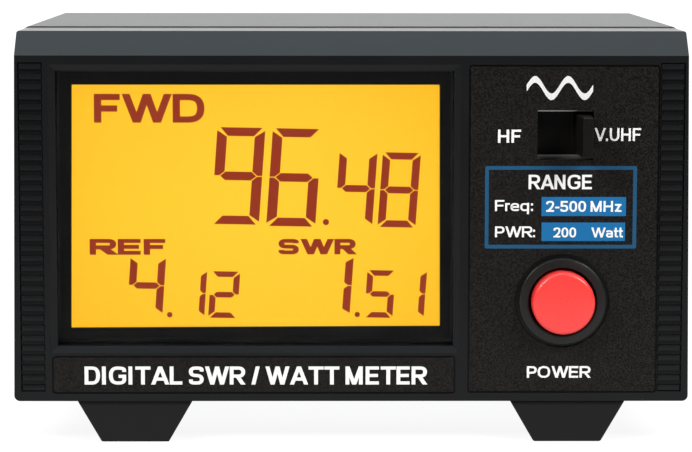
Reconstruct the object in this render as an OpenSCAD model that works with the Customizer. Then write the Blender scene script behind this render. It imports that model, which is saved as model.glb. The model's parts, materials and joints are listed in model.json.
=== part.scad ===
// Desktop digital SWR and power meter for a radio station.
// Millimetres, +Z up, the front faces -Y, origin at the bottom centre of the whole instrument.
// Inside in_case() the Y axis is the depth behind the front face of the bezel.

/* [Case] */
// Width of the front bezel
body_w = 150; // [146:0.5:160]
// Height of the bezel without the feet
body_h = 83.4; // [83.4:0.2:92]
// Depth from the front face to the rear edge of the cover
case_depth = 110.4; // [106:0.2:140]
// Thickness of the folded chassis and rear panel steel
chassis_t = 1.2; // [0.8:0.1:1.2]
// Thickness of the painted cover steel
cover_t = 1.0; // [0.8:0.1:1.0]

/* [Front bezel] */
// Depth of the moulded skirt that reaches back to the cover
skirt_depth = 23; // [22:0.5:26]
// How far each side of the bezel spreads by its bottom edge
base_spread = 1.2; // [0:0.1:1.4]
// Thickness of the moulded front plate
plate_t = 3; // [3:0.1:3.2]
// Thickness of the skirt walls
skirt_t = 2.4; // [2:0.1:2.4]
// How far the sloped upper edge leans back
slope_run = 4.9; // [3:0.1:5.5]
// How far the sloped upper edge drops
slope_drop = 5.3; // [4:0.1:5.3]
// Number of grip ribs in each side column
rib_count = 33; // [20:1:34]
// Distance from one rib to the next
rib_pitch = 2.27; // [2:0.01:2.3]
// Depth of the grooves between the ribs
groove_depth = 0.7; // [0.4:0.1:1]

/* [Display] */
// Width of the window at its inner edge
window_w = 89.3; // [84:0.1:89.6]
// Height of the window at its inner edge
window_h = 62.2; // [58:0.1:62.2]
// Width of the sloping bevel round the window
bevel_w = 1.45; // [0.8:0.05:1.5]
// Depth of that bevel
bevel_depth = 1.2; // [0.8:0.1:1.6]
// Width of the lit part of the display
lit_w = 83.5; // [78:0.1:83.5]
// Height of the lit part of the display
lit_h = 55.4; // [50:0.1:55.4]

/* [Control panel] */
// Width of the printed control plate's recess
control_w = 42.8; // [40:0.1:43]
// Height of the printed control plate's recess
control_h = 74.2; // [72:0.1:74.4]
// Clear groove round each printed plate
plate_groove = 0.4; // [0.2:0.05:0.5]

/* [Band switch] */
// Width of the slot that the lever moves in
slot_w = 12.6; // [12:0.1:12.8]
// Height of the slot
slot_h = 11.2; // [10:0.1:11.6]
// How far the lever stands in front of the face
lever_out = 8; // [5:0.1:9]
// Travel of the lever between its two positions
lever_travel = 8.6; // [6:0.1:8.8]

/* [Power switch] */
// Outer diameter of the switch's front ring
ring_d = 19.5; // [18:0.1:20]
// Diameter of the red cap
cap_d = 14.1; // [12:0.1:14.1]
// How far the cap stands in front of the face
cap_out = 5.5; // [4.5:0.1:6]
// Travel of the cap when it is pressed
cap_travel = 3; // [1.5:0.1:3.2]

/* [Rear sockets] */
// Outer diameter of the socket's threaded barrel
socket_d = 15.875; // [15.8:0.005:15.9]
// Length of the barrel behind its flange
socket_len = 15.8; // [14:0.1:18]
// Side of the square flange
flange_w = 25.4; // [25:0.1:26]
// Spacing of the four flange screws
flange_pitch = 18.25; // [18:0.05:18.5]
// Bore of the centre contact
contact_bore_d = 4.1; // [4:0.05:4.2]
// Distance between the two sockets of one coupler
socket_gap = 32; // [30:0.5:34]

/* [Feet] */
// Height of the feet
foot_h = 9.5; // [8:0.1:14]
// Width of a foot where it meets the case
foot_top_w = 26.2; // [24:0.1:30]
// Width of a foot where it stands
foot_base_w = 15.2; // [12:0.1:20]
// Length of a foot from front to back
foot_len = 18; // [14:0.5:18]

/* [Hidden] */
$fn = 48;
eps = 0.01;
flange_t = 3;
panel_inset = 0.8;
rear_face = case_depth - panel_inset;
socket_end = rear_face + flange_t + socket_len;
face_y = (lever_out - socket_end) / 2;

case_bottom = foot_h;
case_top = foot_h + body_h;
half_w = body_w / 2;

// The window's bottom edge and centre.
window_x = -21.7;
window_z0 = case_bottom + 12.45;
window_z = window_z0 + window_h / 2;
lens_depth = 3.2;
lens_t = 1.8;
lens_back = lens_depth + lens_t;
rim_w = 1.65;
lcd_x = window_x;
lcd_z = window_z0 + 31.3;
lcd_lip = 0.8;
lcd_t = 2.8;
board_depth = 12;
board_t = 1.6;
board_left = -72.3;
board_right = 31.2;
board_z0 = case_bottom + 9.9;
board_z1 = case_bottom + 74.9;
post_r = 2.9;
post_left = -70;
post_right = 28.4;
post_low = case_bottom + 14.5;
post_high = case_bottom + 71;

// The bezel seen from the front spreads towards its bottom edge.
bezel_top_half = half_w + 0.2;
bezel_base_half = half_w + base_spread;
top_corner = 0.5;
base_corner = 1.3;

// Printed plates lie in shallow recesses.
recess_depth = 0.6;
film_t = 0.5;
name_x0 = -67.6;
name_w = 91.1;
name_z0 = case_bottom + 1.7;
name_h = 8.7;
control_x = 47.6;
control_z0 = case_bottom + 1.9;
plate_corner = 0.75;

rib_w = 5.3;
rib_end = half_w - 0.4;
rib_h = 1.15;
rib_z0 = case_bottom + 2.5;

slot_z = case_bottom + 60.35;
band_x = control_x + 0.3;
lever_x = band_x + lever_travel / 2;
switch_depth = 6;
switch_sheet = 0.6;
switch_half_w = 16.1;
switch_half_h = 7.2;
switch_box_depth = 7.5;
switch_ear = 18.9;
slider_t = 1.8;
slider_depth = switch_depth + switch_sheet + 0.1;

push_x = 47.45;
push_z = case_bottom + 22.95;
ring_front = 2;
barrel_r = 8;
barrel_bore_r = 7.2;
barrel_end = 18;
cap_len = 7;
stem_r = 3;

boss_x = half_w - 5.3;
boss_r = 2.7;
boss_low = case_bottom + 5.7;
boss_high = case_top - 5.5;
upright_depth = skirt_depth + 0.2;
case_gap = 0.2;
cover_half_w = half_w + 0.7;
cover_front = skirt_depth + 0.3;
cover_step = 0.3;
cover_top = case_top + cover_step;
chassis_half_w = cover_half_w - cover_t - case_gap;
chassis_top = cover_top - cover_t - case_gap;
flange_h = 14;
panel_front = rear_face - chassis_t;

socket_z = case_bottom + 29;
hf_x = -36;
vu_x = 36;
box_w = 64;
box_h = 34;
box_depth = 26;
box_t = 1.2;
box_front = panel_front - box_depth;
line_depth = panel_front - 14.4;
shell_bore_r = 5.9;
shell_neck_r = 4;
shell_boss_r = 6.2;
contact_r = 2.9;
cup_r = 2;
insulator_end = socket_end - 1.5;
jack_x = -52;
jack_z = case_bottom + 62;

foot_x = 49;
foot_front = 0.8;
rear_foot_front = case_depth - foot_len - 4.4;
self_tap_r = 1.35;
m3_r = 1.45;

// ---------- shared shapes ----------

// Moves a piece from depth behind the face to the model's own frame.
module in_case() {
  translate([0, face_y, 0])
    children();
}

// A box given by its lowest and highest corner.
module block(low, high) {
  translate(low)
    cube(high - low);
}

// A round bar along Y from one depth to another.
module bar_y(x, z, r, from, to) {
  translate([x, from, z])
    rotate([-90, 0, 0])
      cylinder(r = r, h = to - from);
}

// A round bar along X.
module bar_x(y, z, r, from, to) {
  translate([from, y, z])
    rotate([0, 90, 0])
      cylinder(r = r, h = to - from);
}

// A flat plate facing Y with round corners.
module round_plate(x0, x1, z0, z1, from, to, r) {
  block([x0 + r, from, z0], [x1 - r, to, z1]);
  block([x0, from, z0 + r], [x1, to, z1 - r]);
  for (x = [x0 + r, x1 - r], z = [z0 + r, z1 - r])
    bar_y(x, z, r, from, to);
}

// A rectangular opening whose four sides slope inwards by `inset` over `depth`.
module bevelled_opening(x, z, w, h, inset, depth) {
  intersection() {
    translate([x, 0, z - h])
      linear_extrude(h * 2)
        polygon([[-w / 2 - inset, 0], [w / 2 + inset, 0], [w / 2, depth], [-w / 2, depth]]);
    translate([x - w, 0, z])
      rotate([90, 0, 90])
        linear_extrude(w * 2)
          polygon([[0, -h / 2 - inset], [0, h / 2 + inset], [depth, h / 2], [depth, -h / 2]]);
  }
}

// A pan-head screw along Z: its head's flat top faces +Z and its shank points to -Z.
module pan_screw(shank_r, length, head_r, head_h) {
  difference() {
    union() {
      translate([0, 0, -length])
        cylinder(r = shank_r, h = length);
      cylinder(r = head_r, h = head_h * 0.6);
      translate([0, 0, head_h * 0.6])
        cylinder(r1 = head_r, r2 = head_r * 0.72, h = head_h * 0.4);
    }
    for (turn = [0, 90])
      rotate([0, 0, turn])
        translate([-head_r * 0.55, -head_r * 0.13, head_h * 0.35])
          cube([head_r * 1.1, head_r * 0.26, head_h]);
  }
}

// The same screw with its head towards the rear, its seat at `depth`.
module rear_screw(x, z, depth, shank_r, length, head_r, head_h) {
  translate([x, depth, z])
    rotate([-90, 0, 0])
      pan_screw(shank_r, length, head_r, head_h);
}

// An eight-sided wire through a list of points. Its stretches overlap a little at each elbow.
module wire(points, r) {
  last = len(points) - 2;
  for (i = [0:last]) {
    step = points[i + 1] - points[i];
    before = i > 0 ? r : 0;
    after = i < last ? r : 0;
    tilt = acos(step[2] / norm(step));
    turn = atan2(step[1], step[0]);
    translate(points[i])
      rotate([0, tilt, turn])
        translate([0, 0, -before])
          cylinder(r = r, h = norm(step) + before + after, $fn = 8);
  }
}

// ---------- front bezel and its plates ----------

// The outline seen from the side: front face, sloped upper edge and flat top.
module bezel_side_outline(wall, front, back) {
  slope = slope_drop / slope_run;
  lean = wall * sqrt(1 + slope * slope);
  top = case_top - wall;
  bottom = case_bottom + wall;
  brow = case_top - slope_drop + front * slope - lean;
  ridge = (top - (case_top - slope_drop) + lean) / slope;
  polygon([[front, bottom], [front, brow], [ridge, top], [back, top], [back, bottom]]);
}

module bezel_block(wall, half, front, back) {
  translate([-half, 0, 0])
    rotate([90, 0, 90])
      linear_extrude(2 * half)
        bezel_side_outline(wall, front, back);
}

// Points round a corner of radius r, anticlockwise from the angle `start`.
function corner_points(x, z, r, start) =
  [for (i = [0:6]) [x + r * cos(start + 15 * i), z + r * sin(start + 15 * i)]];

module bezel_front_outline(from, to) {
  translate([0, to, 0])
    rotate([90, 0, 0])
      linear_extrude(to - from)
        polygon(concat(
          corner_points(bezel_top_half - top_corner, case_top - top_corner, top_corner, 0),
          corner_points(-bezel_top_half + top_corner, case_top - top_corner, top_corner, 90),
          corner_points(-bezel_base_half + base_corner, case_bottom + base_corner, base_corner, 180),
          corner_points(bezel_base_half - base_corner, case_bottom + base_corner, base_corner, 270)
        ));
}

module rib_grooves(side) {
  outer = side * rib_end;
  inner = side * (rib_end - rib_w);
  for (i = [0:rib_count - 2]) {
    z = rib_z0 + rib_h + i * rib_pitch;
    block([min(outer, inner), -1, z], [max(outer, inner), groove_depth, z + rib_pitch - rib_h]);
  }
}

module bezel_bosses() {
  for (x = [-boss_x, boss_x], z = [boss_low, boss_high])
    bar_y(x, z, boss_r, plate_t - 0.3, upright_depth);
  for (x = [post_left, post_right], z = [post_low, post_high])
    bar_y(x, z, post_r, plate_t - 1, board_depth);
  for (x = [-switch_ear, switch_ear])
    bar_y(band_x + x, slot_z, 2.3, plate_t - 1, switch_depth);
  for (x = [-foot_x, foot_x])
    translate([x, foot_front + foot_len / 2, case_bottom])
      cylinder(r = 3.2, h = 7);
}

module front_bezel() {
  color("#1c1d1f")
    in_case()
      difference() {
        union() {
          difference() {
            intersection() {
              bezel_block(0, half_w + 3, 0, skirt_depth);
              bezel_front_outline(-1, skirt_depth + 1);
            }
            bezel_block(skirt_t, half_w - skirt_t, plate_t, skirt_depth + 1);
          }
          block([window_x - window_w / 2 - rim_w, plate_t - 1, window_z0 - rim_w],
                [window_x + window_w / 2 + rim_w, lens_back, window_z0 + window_h + rim_w]);
          bezel_bosses();
        }
        bevelled_opening(window_x, window_z, window_w, window_h, bevel_w, bevel_depth);
        block([window_x - window_w / 2, bevel_depth - eps, window_z0],
              [window_x + window_w / 2, lens_back + 1, window_z0 + window_h]);
        round_plate(name_x0, name_x0 + name_w, name_z0, name_z0 + name_h, -1, recess_depth, 0.8);
        round_plate(control_x - control_w / 2, control_x + control_w / 2,
                    control_z0, control_z0 + control_h, -1, recess_depth, plate_corner);
        block([band_x - slot_w / 2, -1, slot_z - slot_h / 2],
              [band_x + slot_w / 2, plate_t + 1, slot_z + slot_h / 2]);
        bar_y(push_x, push_z, barrel_r + 0.1, -1, plate_t + 1);
        rib_grooves(-1);
        rib_grooves(1);
        for (x = [-boss_x, boss_x], z = [boss_low, boss_high])
          bar_y(x, z, self_tap_r + 0.05, upright_depth - 11, upright_depth + 1);
        for (x = [post_left, post_right], z = [post_low, post_high])
          bar_y(x, z, 1.15, board_depth - 7, board_depth + 1);
        for (x = [-switch_ear, switch_ear])
          bar_y(band_x + x, slot_z, 1.05, switch_depth - 4.4, switch_depth + 1);
        for (x = [-foot_x, foot_x])
          translate([x, foot_front + foot_len / 2, case_bottom - 1])
            cylinder(r = self_tap_r + 0.05, h = 7);
      }
}

module name_plate() {
  g = plate_groove;
  color("#141415")
    in_case()
      round_plate(name_x0 + g, name_x0 + name_w - g, name_z0 + g, name_z0 + name_h - g,
                  recess_depth - film_t, recess_depth, 0.5);
}

module control_plate() {
  g = plate_groove;
  color("#1b1a19")
    in_case()
      difference() {
        round_plate(control_x - control_w / 2 + g, control_x + control_w / 2 - g,
                    control_z0 + g, control_z0 + control_h - g,
                    recess_depth - film_t, recess_depth, 0.5);
        block([band_x - slot_w / 2, -1, slot_z - slot_h / 2],
              [band_x + slot_w / 2, 2, slot_z + slot_h / 2]);
        bar_y(push_x, push_z, ring_d / 2 + 0.85, -1, 2);
      }
}

// ---------- display ----------

module display_lens() {
  side_gap = 0.45;
  color([0.1, 0.1, 0.12, 0.6])
    in_case()
      block([window_x - window_w / 2 + side_gap, lens_depth, window_z0 + 1],
            [window_x + window_w / 2 - side_gap, lens_back, window_z0 + window_h - 0.4]);
}

module lcd_frame() {
  color("#202022")
    in_case()
      difference() {
        block([window_x - window_w / 2 - 0.55, lens_back, window_z0 - 3],
              [window_x + window_w / 2 + 2.6, board_depth, window_z0 + window_h + 1.8]);
        block([lcd_x - lit_w / 2 - 0.6, lens_back - 1, lcd_z - lit_h / 2 - 0.6],
              [lcd_x + lit_w / 2 + 0.6, board_depth + 1, lcd_z + lit_h / 2 + 0.6]);
        block([lcd_x - lit_w / 2 - 1.9, lens_back + lcd_lip, lcd_z - lit_h / 2 - 1.9],
              [lcd_x + lit_w / 2 + 1.9, board_depth + 1, lcd_z + lit_h / 2 + 1.9]);
      }
}

module lcd_glass() {
  front = lens_back + lcd_lip;
  color("#ffc828")
    in_case()
      block([lcd_x - lit_w / 2 - 1.8, front, lcd_z - lit_h / 2 - 1.8],
            [lcd_x + lit_w / 2 + 1.8, front + lcd_t, lcd_z + lit_h / 2 + 1.8]);
}

module backlight() {
  front = lens_back + lcd_lip + lcd_t;
  color("#fff3c0")
    in_case()
      block([lcd_x - lit_w / 2, front + 0.1, lcd_z - lit_h / 2 + 2.4],
            [lcd_x + lit_w / 2, board_depth - 0.1, lcd_z + lit_h / 2 - 2.4]);
}

module contact_strips() {
  front = lens_back + lcd_lip + lcd_t;
  color("#8a8a90")
    in_case()
      for (z = [lcd_z - lit_h / 2 - 0.8, lcd_z + lit_h / 2 - 1.2])
        block([lcd_x - lit_w / 2 + 3, front, z], [lcd_x + lit_w / 2 - 3, board_depth, z + 2]);
}

module display_board() {
  color("#1f6b3a")
    in_case()
      difference() {
        block([board_left, board_depth, board_z0], [board_right, board_depth + board_t, board_z1]);
        for (x = [post_left, post_right], z = [post_low, post_high])
          bar_y(x, z, 1.4, board_depth - 1, board_depth + board_t + 1);
      }
}

module board_components() {
  back = board_depth + board_t;
  color("#2b2b2e")
    in_case() {
      // Microcontroller and its display driver.
      block([-30, back, 48], [-16, back + 1.6, 62]);
      block([-2, back, 48], [8, back + 1.6, 55]);
      // Voltage regulator and plug headers.
      block([14, back, 26], [20.5, back + 2.3, 32.5]);
      block([-56, back, 66], [-41, back + 6, 72]);
      block([-56, back, 30], [-46, back + 6, 36]);
      // Smoothing capacitors and the clock crystal.
      bar_y(4, 29, 4, back, back + 7);
      bar_y(-8, 29, 4, back, back + 7);
      block([-26, back, 68], [-15, back + 3.5, 72.6]);
    }
}

module board_screws() {
  color("#c9ccd0")
    in_case()
      for (x = [post_left, post_right], z = [post_low, post_high])
        rear_screw(x, z, board_depth + board_t, 1.1, 8, 2.2, 1.5);
}

// ---------- band switch ----------

module band_switch_frame() {
  back = switch_depth + switch_box_depth;
  window_half = lever_travel / 2 + 2.3;
  color("#b9bcc0")
    in_case()
      difference() {
        union() {
          block([band_x - switch_half_w, switch_depth, slot_z - switch_half_h],
                [band_x + switch_half_w, back, slot_z + switch_half_h]);
          block([band_x - switch_ear - 2.3, switch_depth, slot_z - 3.2],
                [band_x + switch_ear + 2.3, switch_depth + switch_sheet, slot_z + 3.2]);
        }
        block([band_x - switch_half_w + switch_sheet, switch_depth + switch_sheet,
               slot_z - switch_half_h + switch_sheet],
              [band_x + switch_half_w - switch_sheet, back + 1,
               slot_z + switch_half_h - switch_sheet]);
        block([band_x - window_half, switch_depth - 1, slot_z - 4.9],
              [band_x + window_half, switch_depth + 2, slot_z + 4.9]);
        for (x = [-switch_ear, switch_ear])
          bar_y(band_x + x, slot_z, 1.2, switch_depth - 1, switch_depth + 2);
      }
}

module band_switch_base() {
  back = switch_depth + switch_box_depth;
  inner_w = switch_half_w - switch_sheet - 0.05;
  inner_h = switch_half_h - switch_sheet - 0.05;
  color("#5a3a22")
    in_case() {
      block([band_x - inner_w, back - 1.2, slot_z - inner_h],
            [band_x + inner_w, back, slot_z + inner_h]);
      // Six solder tags in two rows.
      for (x = [-lever_travel, 0, lever_travel], z = [-3, 3])
        block([band_x + x - 0.9, back, slot_z + z - 0.25],
              [band_x + x + 0.9, back + 3.5, slot_z + z + 0.25]);
    }
}

module band_switch_knob() {
  tip = 1.18;
  root = 1.9;
  slider_half = 10.9;
  slider_half_h = switch_half_h - switch_sheet - 0.1;
  lever_half_h = 4.5;
  color("#1a1a1b")
    in_case() {
      translate([lever_x, 0, slot_z - lever_half_h])
        linear_extrude(2 * lever_half_h)
          polygon([[-tip, -lever_out], [tip, -lever_out], [root, slider_depth], [-root, slider_depth]]);
      block([lever_x - slider_half, slider_depth, slot_z - slider_half_h],
            [lever_x + slider_half, slider_depth + slider_t, slot_z + slider_half_h]);
    }
}

module band_switch_wipers() {
  front = slider_depth + slider_t;
  color("#d8b56a")
    in_case()
      for (z = [-3, 3]) {
        block([lever_x - 6, front, slot_z + z - 1], [lever_x + 6, front + 0.4, slot_z + z + 1]);
        for (x = [-lever_travel / 2, lever_travel / 2])
          bar_y(lever_x + x, slot_z + z, 0.9, front + 0.4, switch_depth + switch_box_depth - 1.5);
      }
}

module band_switch_screws() {
  color("#c9ccd0")
    in_case()
      for (x = [-switch_ear, switch_ear])
        rear_screw(band_x + x, slot_z, switch_depth + switch_sheet, 1, 4.6, 2, 1.4);
}

// ---------- power switch ----------

module power_switch_body() {
  ring_r = ring_d / 2;
  color("#3a3a3c")
    in_case()
      translate([push_x, 0, push_z])
        rotate([-90, 0, 0])
          rotate_extrude()
            polygon([
              [barrel_bore_r, 0.6], [ring_r - 2, -ring_front], [ring_r - 1.4, -ring_front],
              [ring_r, -ring_front + 1.1], [ring_r, recess_depth], [barrel_r, recess_depth],
              [barrel_r, barrel_end], [barrel_bore_r, barrel_end]
            ]);
}

module power_switch_washer() {
  color("#d0d2d4")
    in_case()
      difference() {
        bar_y(push_x, push_z, 10.4, plate_t, plate_t + 0.8);
        bar_y(push_x, push_z, barrel_r + 0.1, plate_t - 1, plate_t + 2);
      }
}

module power_switch_nut() {
  front = plate_t + 0.8;
  color("#b9bcc0")
    in_case()
      difference() {
        translate([push_x, front, push_z])
          rotate([-90, 0, 0])
            cylinder(r = 11, h = 2.6, $fn = 6);
        bar_y(push_x, push_z, barrel_r + 0.03, front - 1, front + 4);
      }
}

module power_switch_cap() {
  r = cap_d / 2;
  soft = 0.9;
  color("#f0463f")
    in_case()
      translate([push_x, -cap_out, push_z])
        rotate([-90, 0, 0])
          rotate_extrude()
            union() {
              polygon([[0, 0], [r - soft, 0], [r - soft, soft], [r, soft], [r, cap_len], [0, cap_len]]);
              intersection() {
                translate([r - soft, soft])
                  circle(r = soft);
                translate([0, 0])
                  square([r, soft]);
              }
            }
}

module power_switch_plunger() {
  shoulder = cap_len - cap_out;
  color("#e8e4d8")
    in_case() {
      bar_y(push_x, push_z, 5.6, shoulder, shoulder + 1.5);
      bar_y(push_x, push_z, stem_r, shoulder + 1.5, barrel_end - cap_travel - 0.3);
    }
}

// A coil spring, as a row of linked rings that follow its pitch.
module power_switch_spring() {
  shoulder = cap_len - cap_out + 1.5;
  turns = 6;
  wire_r = 0.3;
  coil_r = 4.5;
  seat = barrel_end - 1.5;
  pitch = (seat - shoulder - 2 * wire_r) / (turns - 1);
  color("#c8c8cc")
    in_case()
      for (i = [0:turns - 1]) {
        translate([push_x, shoulder + wire_r + i * pitch, push_z])
          rotate([-90, 0, 0])
            rotate_extrude()
              translate([coil_r, 0])
                circle(r = wire_r, $fn = 16);
        if (i < turns - 1)
          bar_y(push_x, push_z + (i % 2 == 0 ? coil_r : -coil_r), wire_r,
                shoulder + wire_r + i * pitch, shoulder + wire_r + (i + 1) * pitch);
      }
}

module power_switch_base() {
  color("#26262a")
    in_case()
      difference() {
        union() {
          bar_y(push_x, push_z, barrel_r, barrel_end, barrel_end + 6);
          bar_y(push_x, push_z, barrel_bore_r - 0.05, barrel_end - 1.5, barrel_end);
        }
        bar_y(push_x, push_z, stem_r + 0.2, barrel_end - 2, barrel_end + 3.5);
      }
}

module power_switch_terminals() {
  back = barrel_end + 6;
  color("#d8b56a")
    in_case()
      for (z = [-3.2, 3.2])
        block([push_x - 1.4, back, push_z + z - 0.3], [push_x + 1.4, back + 6, push_z + z + 0.3]);
}

// ---------- case ----------

// The folded outline of the cover: two sides and a top with rounded bends.
module cover_shell(inset, from, to) {
  x = cover_half_w - inset;
  top = cover_top - inset;
  r = max(1.4 - inset, 0.4);
  block([-x, from, case_bottom - 5], [x, to, top - r]);
  block([-x + r, from, top - r - 1], [x - r, to, top]);
  for (side = [-x + r, x - r])
    bar_y(side, top - r, r, from, to);
}

cover_screw_z = case_bottom + 8;
cover_screw_depths = [44, case_depth - 18];

module top_cover() {
  color("#3b3c3f")
    in_case()
      difference() {
        intersection() {
          cover_shell(0, cover_front, case_depth);
          block([-body_w, 0, case_bottom + 0.2], [body_w, case_depth + 1, cover_top]);
        }
        cover_shell(cover_t, cover_front - 1, case_depth + 1);
        for (y = cover_screw_depths)
          bar_x(y, cover_screw_z, 1.6, -body_w, body_w);
      }
}

module cover_screws() {
  color("#2a2a2c")
    in_case()
      for (side = [-1, 1], y = cover_screw_depths)
        translate([side * cover_half_w, y, cover_screw_z])
          rotate([0, side * 90, 0])
            pan_screw(m3_r, 5, 2.75, 1.6);
}

module bottom_chassis() {
  w = chassis_half_w;
  floor_top = case_bottom + chassis_t;
  tab_depth = panel_front - chassis_t;
  color("#a9acb0")
    in_case()
      difference() {
        union() {
          block([-w, upright_depth, case_bottom], [w, panel_front, floor_top]);
          block([-w, upright_depth, case_bottom], [w, upright_depth + chassis_t, chassis_top]);
          for (x = [-w, w - chassis_t])
            block([x, upright_depth + 3, case_bottom], [x + chassis_t, panel_front - 2,
                  case_bottom + flange_h]);
          for (x = [-50, 50])
            block([x - 10, tab_depth, case_bottom], [x + 10, panel_front, case_bottom + 11]);
        }
        round_plate(-64, 64, case_bottom + 11, case_top - 11, upright_depth - 1,
                    upright_depth + chassis_t + 1, 3);
        for (x = [-boss_x, boss_x], z = [boss_low, boss_high])
          bar_y(x, z, 1.6, upright_depth - 1, upright_depth + chassis_t + 1);
        for (x = [-foot_x, foot_x])
          translate([x, rear_foot_front + foot_len / 2, case_bottom - 1])
            cylinder(r = self_tap_r + 0.05, h = 4);
        for (y = cover_screw_depths)
          bar_x(y, cover_screw_z, m3_r + 0.05, -body_w, body_w);
        for (x = [-50, 50])
          bar_y(x, case_bottom + 6, m3_r + 0.05, tab_depth - 1, panel_front + 1);
      }
}

module socket_holes(x, boss_hole, screw_hole, from, to) {
  bar_y(x, socket_z, boss_hole, from, to);
  for (dx = [-1, 1], dz = [-1, 1])
    bar_y(x + dx * flange_pitch / 2, socket_z + dz * flange_pitch / 2, screw_hole, from, to);
}

socket_places = [
  hf_x - socket_gap / 2, hf_x + socket_gap / 2,
  vu_x - socket_gap / 2, vu_x + socket_gap / 2
];

module rear_panel() {
  w = chassis_half_w;
  color("#3b3c3f")
    in_case()
      difference() {
        union() {
          block([-w, panel_front, case_bottom + 0.2], [w, rear_face, chassis_top]);
          block([-w + 4, panel_front - 10, chassis_top - chassis_t],
                [w - 4, panel_front + 0.5, chassis_top]);
        }
        for (x = socket_places)
          socket_holes(x, shell_boss_r + 0.1, 1.6, panel_front - 1, rear_face + 1);
        bar_y(jack_x, jack_z, 5.6, panel_front - 1, rear_face + 1);
        for (x = [-50, 50])
          bar_y(x, case_bottom + 6, 1.6, panel_front - 1, rear_face + 1);
      }
}

module bezel_screws() {
  color("#c9ccd0")
    in_case()
      for (x = [-boss_x, boss_x], z = [boss_low, boss_high])
        rear_screw(x, z, upright_depth + chassis_t, self_tap_r, 10, 2.6, 1.7);
}

module panel_screws() {
  color("#2a2a2c")
    in_case()
      for (x = [-50, 50])
        rear_screw(x, case_bottom + 6, rear_face, m3_r, 4.5, 2.75, 1.7);
}

// ---------- feet ----------

// A wedge-sided foot with a sunk screw.
module foot(x, front) {
  color("#202122")
    in_case()
      difference() {
        translate([x, front + foot_len, 0])
          rotate([90, 0, 0])
            linear_extrude(foot_len)
              polygon([
                [-foot_base_w / 2, 0], [foot_base_w / 2, 0],
                [foot_top_w / 2, foot_h], [-foot_top_w / 2, foot_h]
              ]);
        translate([x, front + foot_len / 2, -1]) {
          cylinder(r = 1.6, h = foot_h + 2);
          cylinder(r = 3.4, h = foot_h - 3);
        }
      }
}

module front_left_foot() {
  foot(-foot_x, foot_front);
}

module front_right_foot() {
  foot(foot_x, foot_front);
}

module rear_left_foot() {
  foot(-foot_x, rear_foot_front);
}

module rear_right_foot() {
  foot(foot_x, rear_foot_front);
}

module foot_screws() {
  color("#c9ccd0")
    in_case()
      for (x = [-foot_x, foot_x], front = [foot_front, rear_foot_front])
        translate([x, front + foot_len / 2, foot_h - 4])
          rotate([180, 0, 0])
            pan_screw(self_tap_r, 8.5, 2.75, 1.7);
}

// ---------- rear sockets ----------

module socket_shell(x) {
  neck_depth = rear_face - 5;
  color("#c8cacc")
    in_case()
      difference() {
        union() {
          block([x - flange_w / 2, rear_face, socket_z - flange_w / 2],
                [x + flange_w / 2, rear_face + flange_t, socket_z + flange_w / 2]);
          bar_y(x, socket_z, socket_d / 2, rear_face + flange_t - 1, socket_end);
          bar_y(x, socket_z, shell_boss_r, neck_depth, rear_face + 1);
        }
        bar_y(x, socket_z, shell_bore_r, rear_face, socket_end + 1);
        bar_y(x, socket_z, shell_neck_r, neck_depth - 1, rear_face + 1);
        socket_holes(x, shell_neck_r, 1.6, rear_face - 1, rear_face + flange_t + 1);
        // Four locating notches in the rim.
        for (turn = [0, 90])
          translate([x, socket_end, socket_z])
            rotate([0, turn, 0])
              cube([socket_d + 2, 1.8, 1.3], center = true);
      }
}

module socket_insulator(x) {
  color("#e6dfcc")
    in_case()
      difference() {
        union() {
          bar_y(x, socket_z, shell_bore_r - 0.03, rear_face, insulator_end);
          bar_y(x, socket_z, shell_neck_r - 0.03, rear_face - 7, rear_face + 1);
        }
        bar_y(x, socket_z, contact_r + 0.03, rear_face - 8, insulator_end + 1);
      }
}

module socket_contact(x) {
  tail = rear_face - 7;
  cup_end = line_depth - 4;
  slit = 0.4;
  color("#d9a441")
    in_case()
      difference() {
        union() {
          bar_y(x, socket_z, contact_r, tail, insulator_end);
          bar_y(x, socket_z, cup_r, cup_end, tail + 1);
        }
        bar_y(x, socket_z, contact_bore_d / 2, insulator_end - 15, insulator_end + 1);
        for (turn = [0, 90])
          translate([x, insulator_end, socket_z])
            rotate([0, turn + 45, 0])
              cube([contact_r * 3, 16, slit], center = true);
      }
}

module hf_tx_shell() {
  socket_shell(socket_places[0]);
}

module hf_ant_shell() {
  socket_shell(socket_places[1]);
}

module vu_tx_shell() {
  socket_shell(socket_places[2]);
}

module vu_ant_shell() {
  socket_shell(socket_places[3]);
}

module hf_tx_insulator() {
  socket_insulator(socket_places[0]);
}

module hf_ant_insulator() {
  socket_insulator(socket_places[1]);
}

module vu_tx_insulator() {
  socket_insulator(socket_places[2]);
}

module vu_ant_insulator() {
  socket_insulator(socket_places[3]);
}

module hf_tx_contact() {
  socket_contact(socket_places[0]);
}

module hf_ant_contact() {
  socket_contact(socket_places[1]);
}

module vu_tx_contact() {
  socket_contact(socket_places[2]);
}

module vu_ant_contact() {
  socket_contact(socket_places[3]);
}

module socket_screws() {
  color("#c9ccd0")
    in_case()
      for (x = socket_places, dx = [-1, 1], dz = [-1, 1])
        rear_screw(x + dx * flange_pitch / 2, socket_z + dz * flange_pitch / 2,
                   rear_face + flange_t, m3_r, 8, 2.75, 1.8);
}

// ---------- couplers ----------

// A tinned box open towards the front, screwed behind its two sockets.
module coupler_box(x) {
  t = box_t;
  low_z = socket_z - box_h / 2;
  color("#c4c6c8")
    in_case()
      difference() {
        block([x - box_w / 2, box_front, low_z], [x + box_w / 2, panel_front, low_z + box_h]);
        block([x - box_w / 2 + t, box_front - 1, low_z + t],
              [x + box_w / 2 - t, panel_front - t, low_z + box_h - t]);
        for (side = [-1, 1])
          socket_holes(x + side * socket_gap / 2, shell_boss_r + 0.1, m3_r + 0.05,
                       panel_front - t - 1, panel_front + 1);
      }
}

module hf_coupler_box() {
  coupler_box(hf_x);
}

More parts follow.
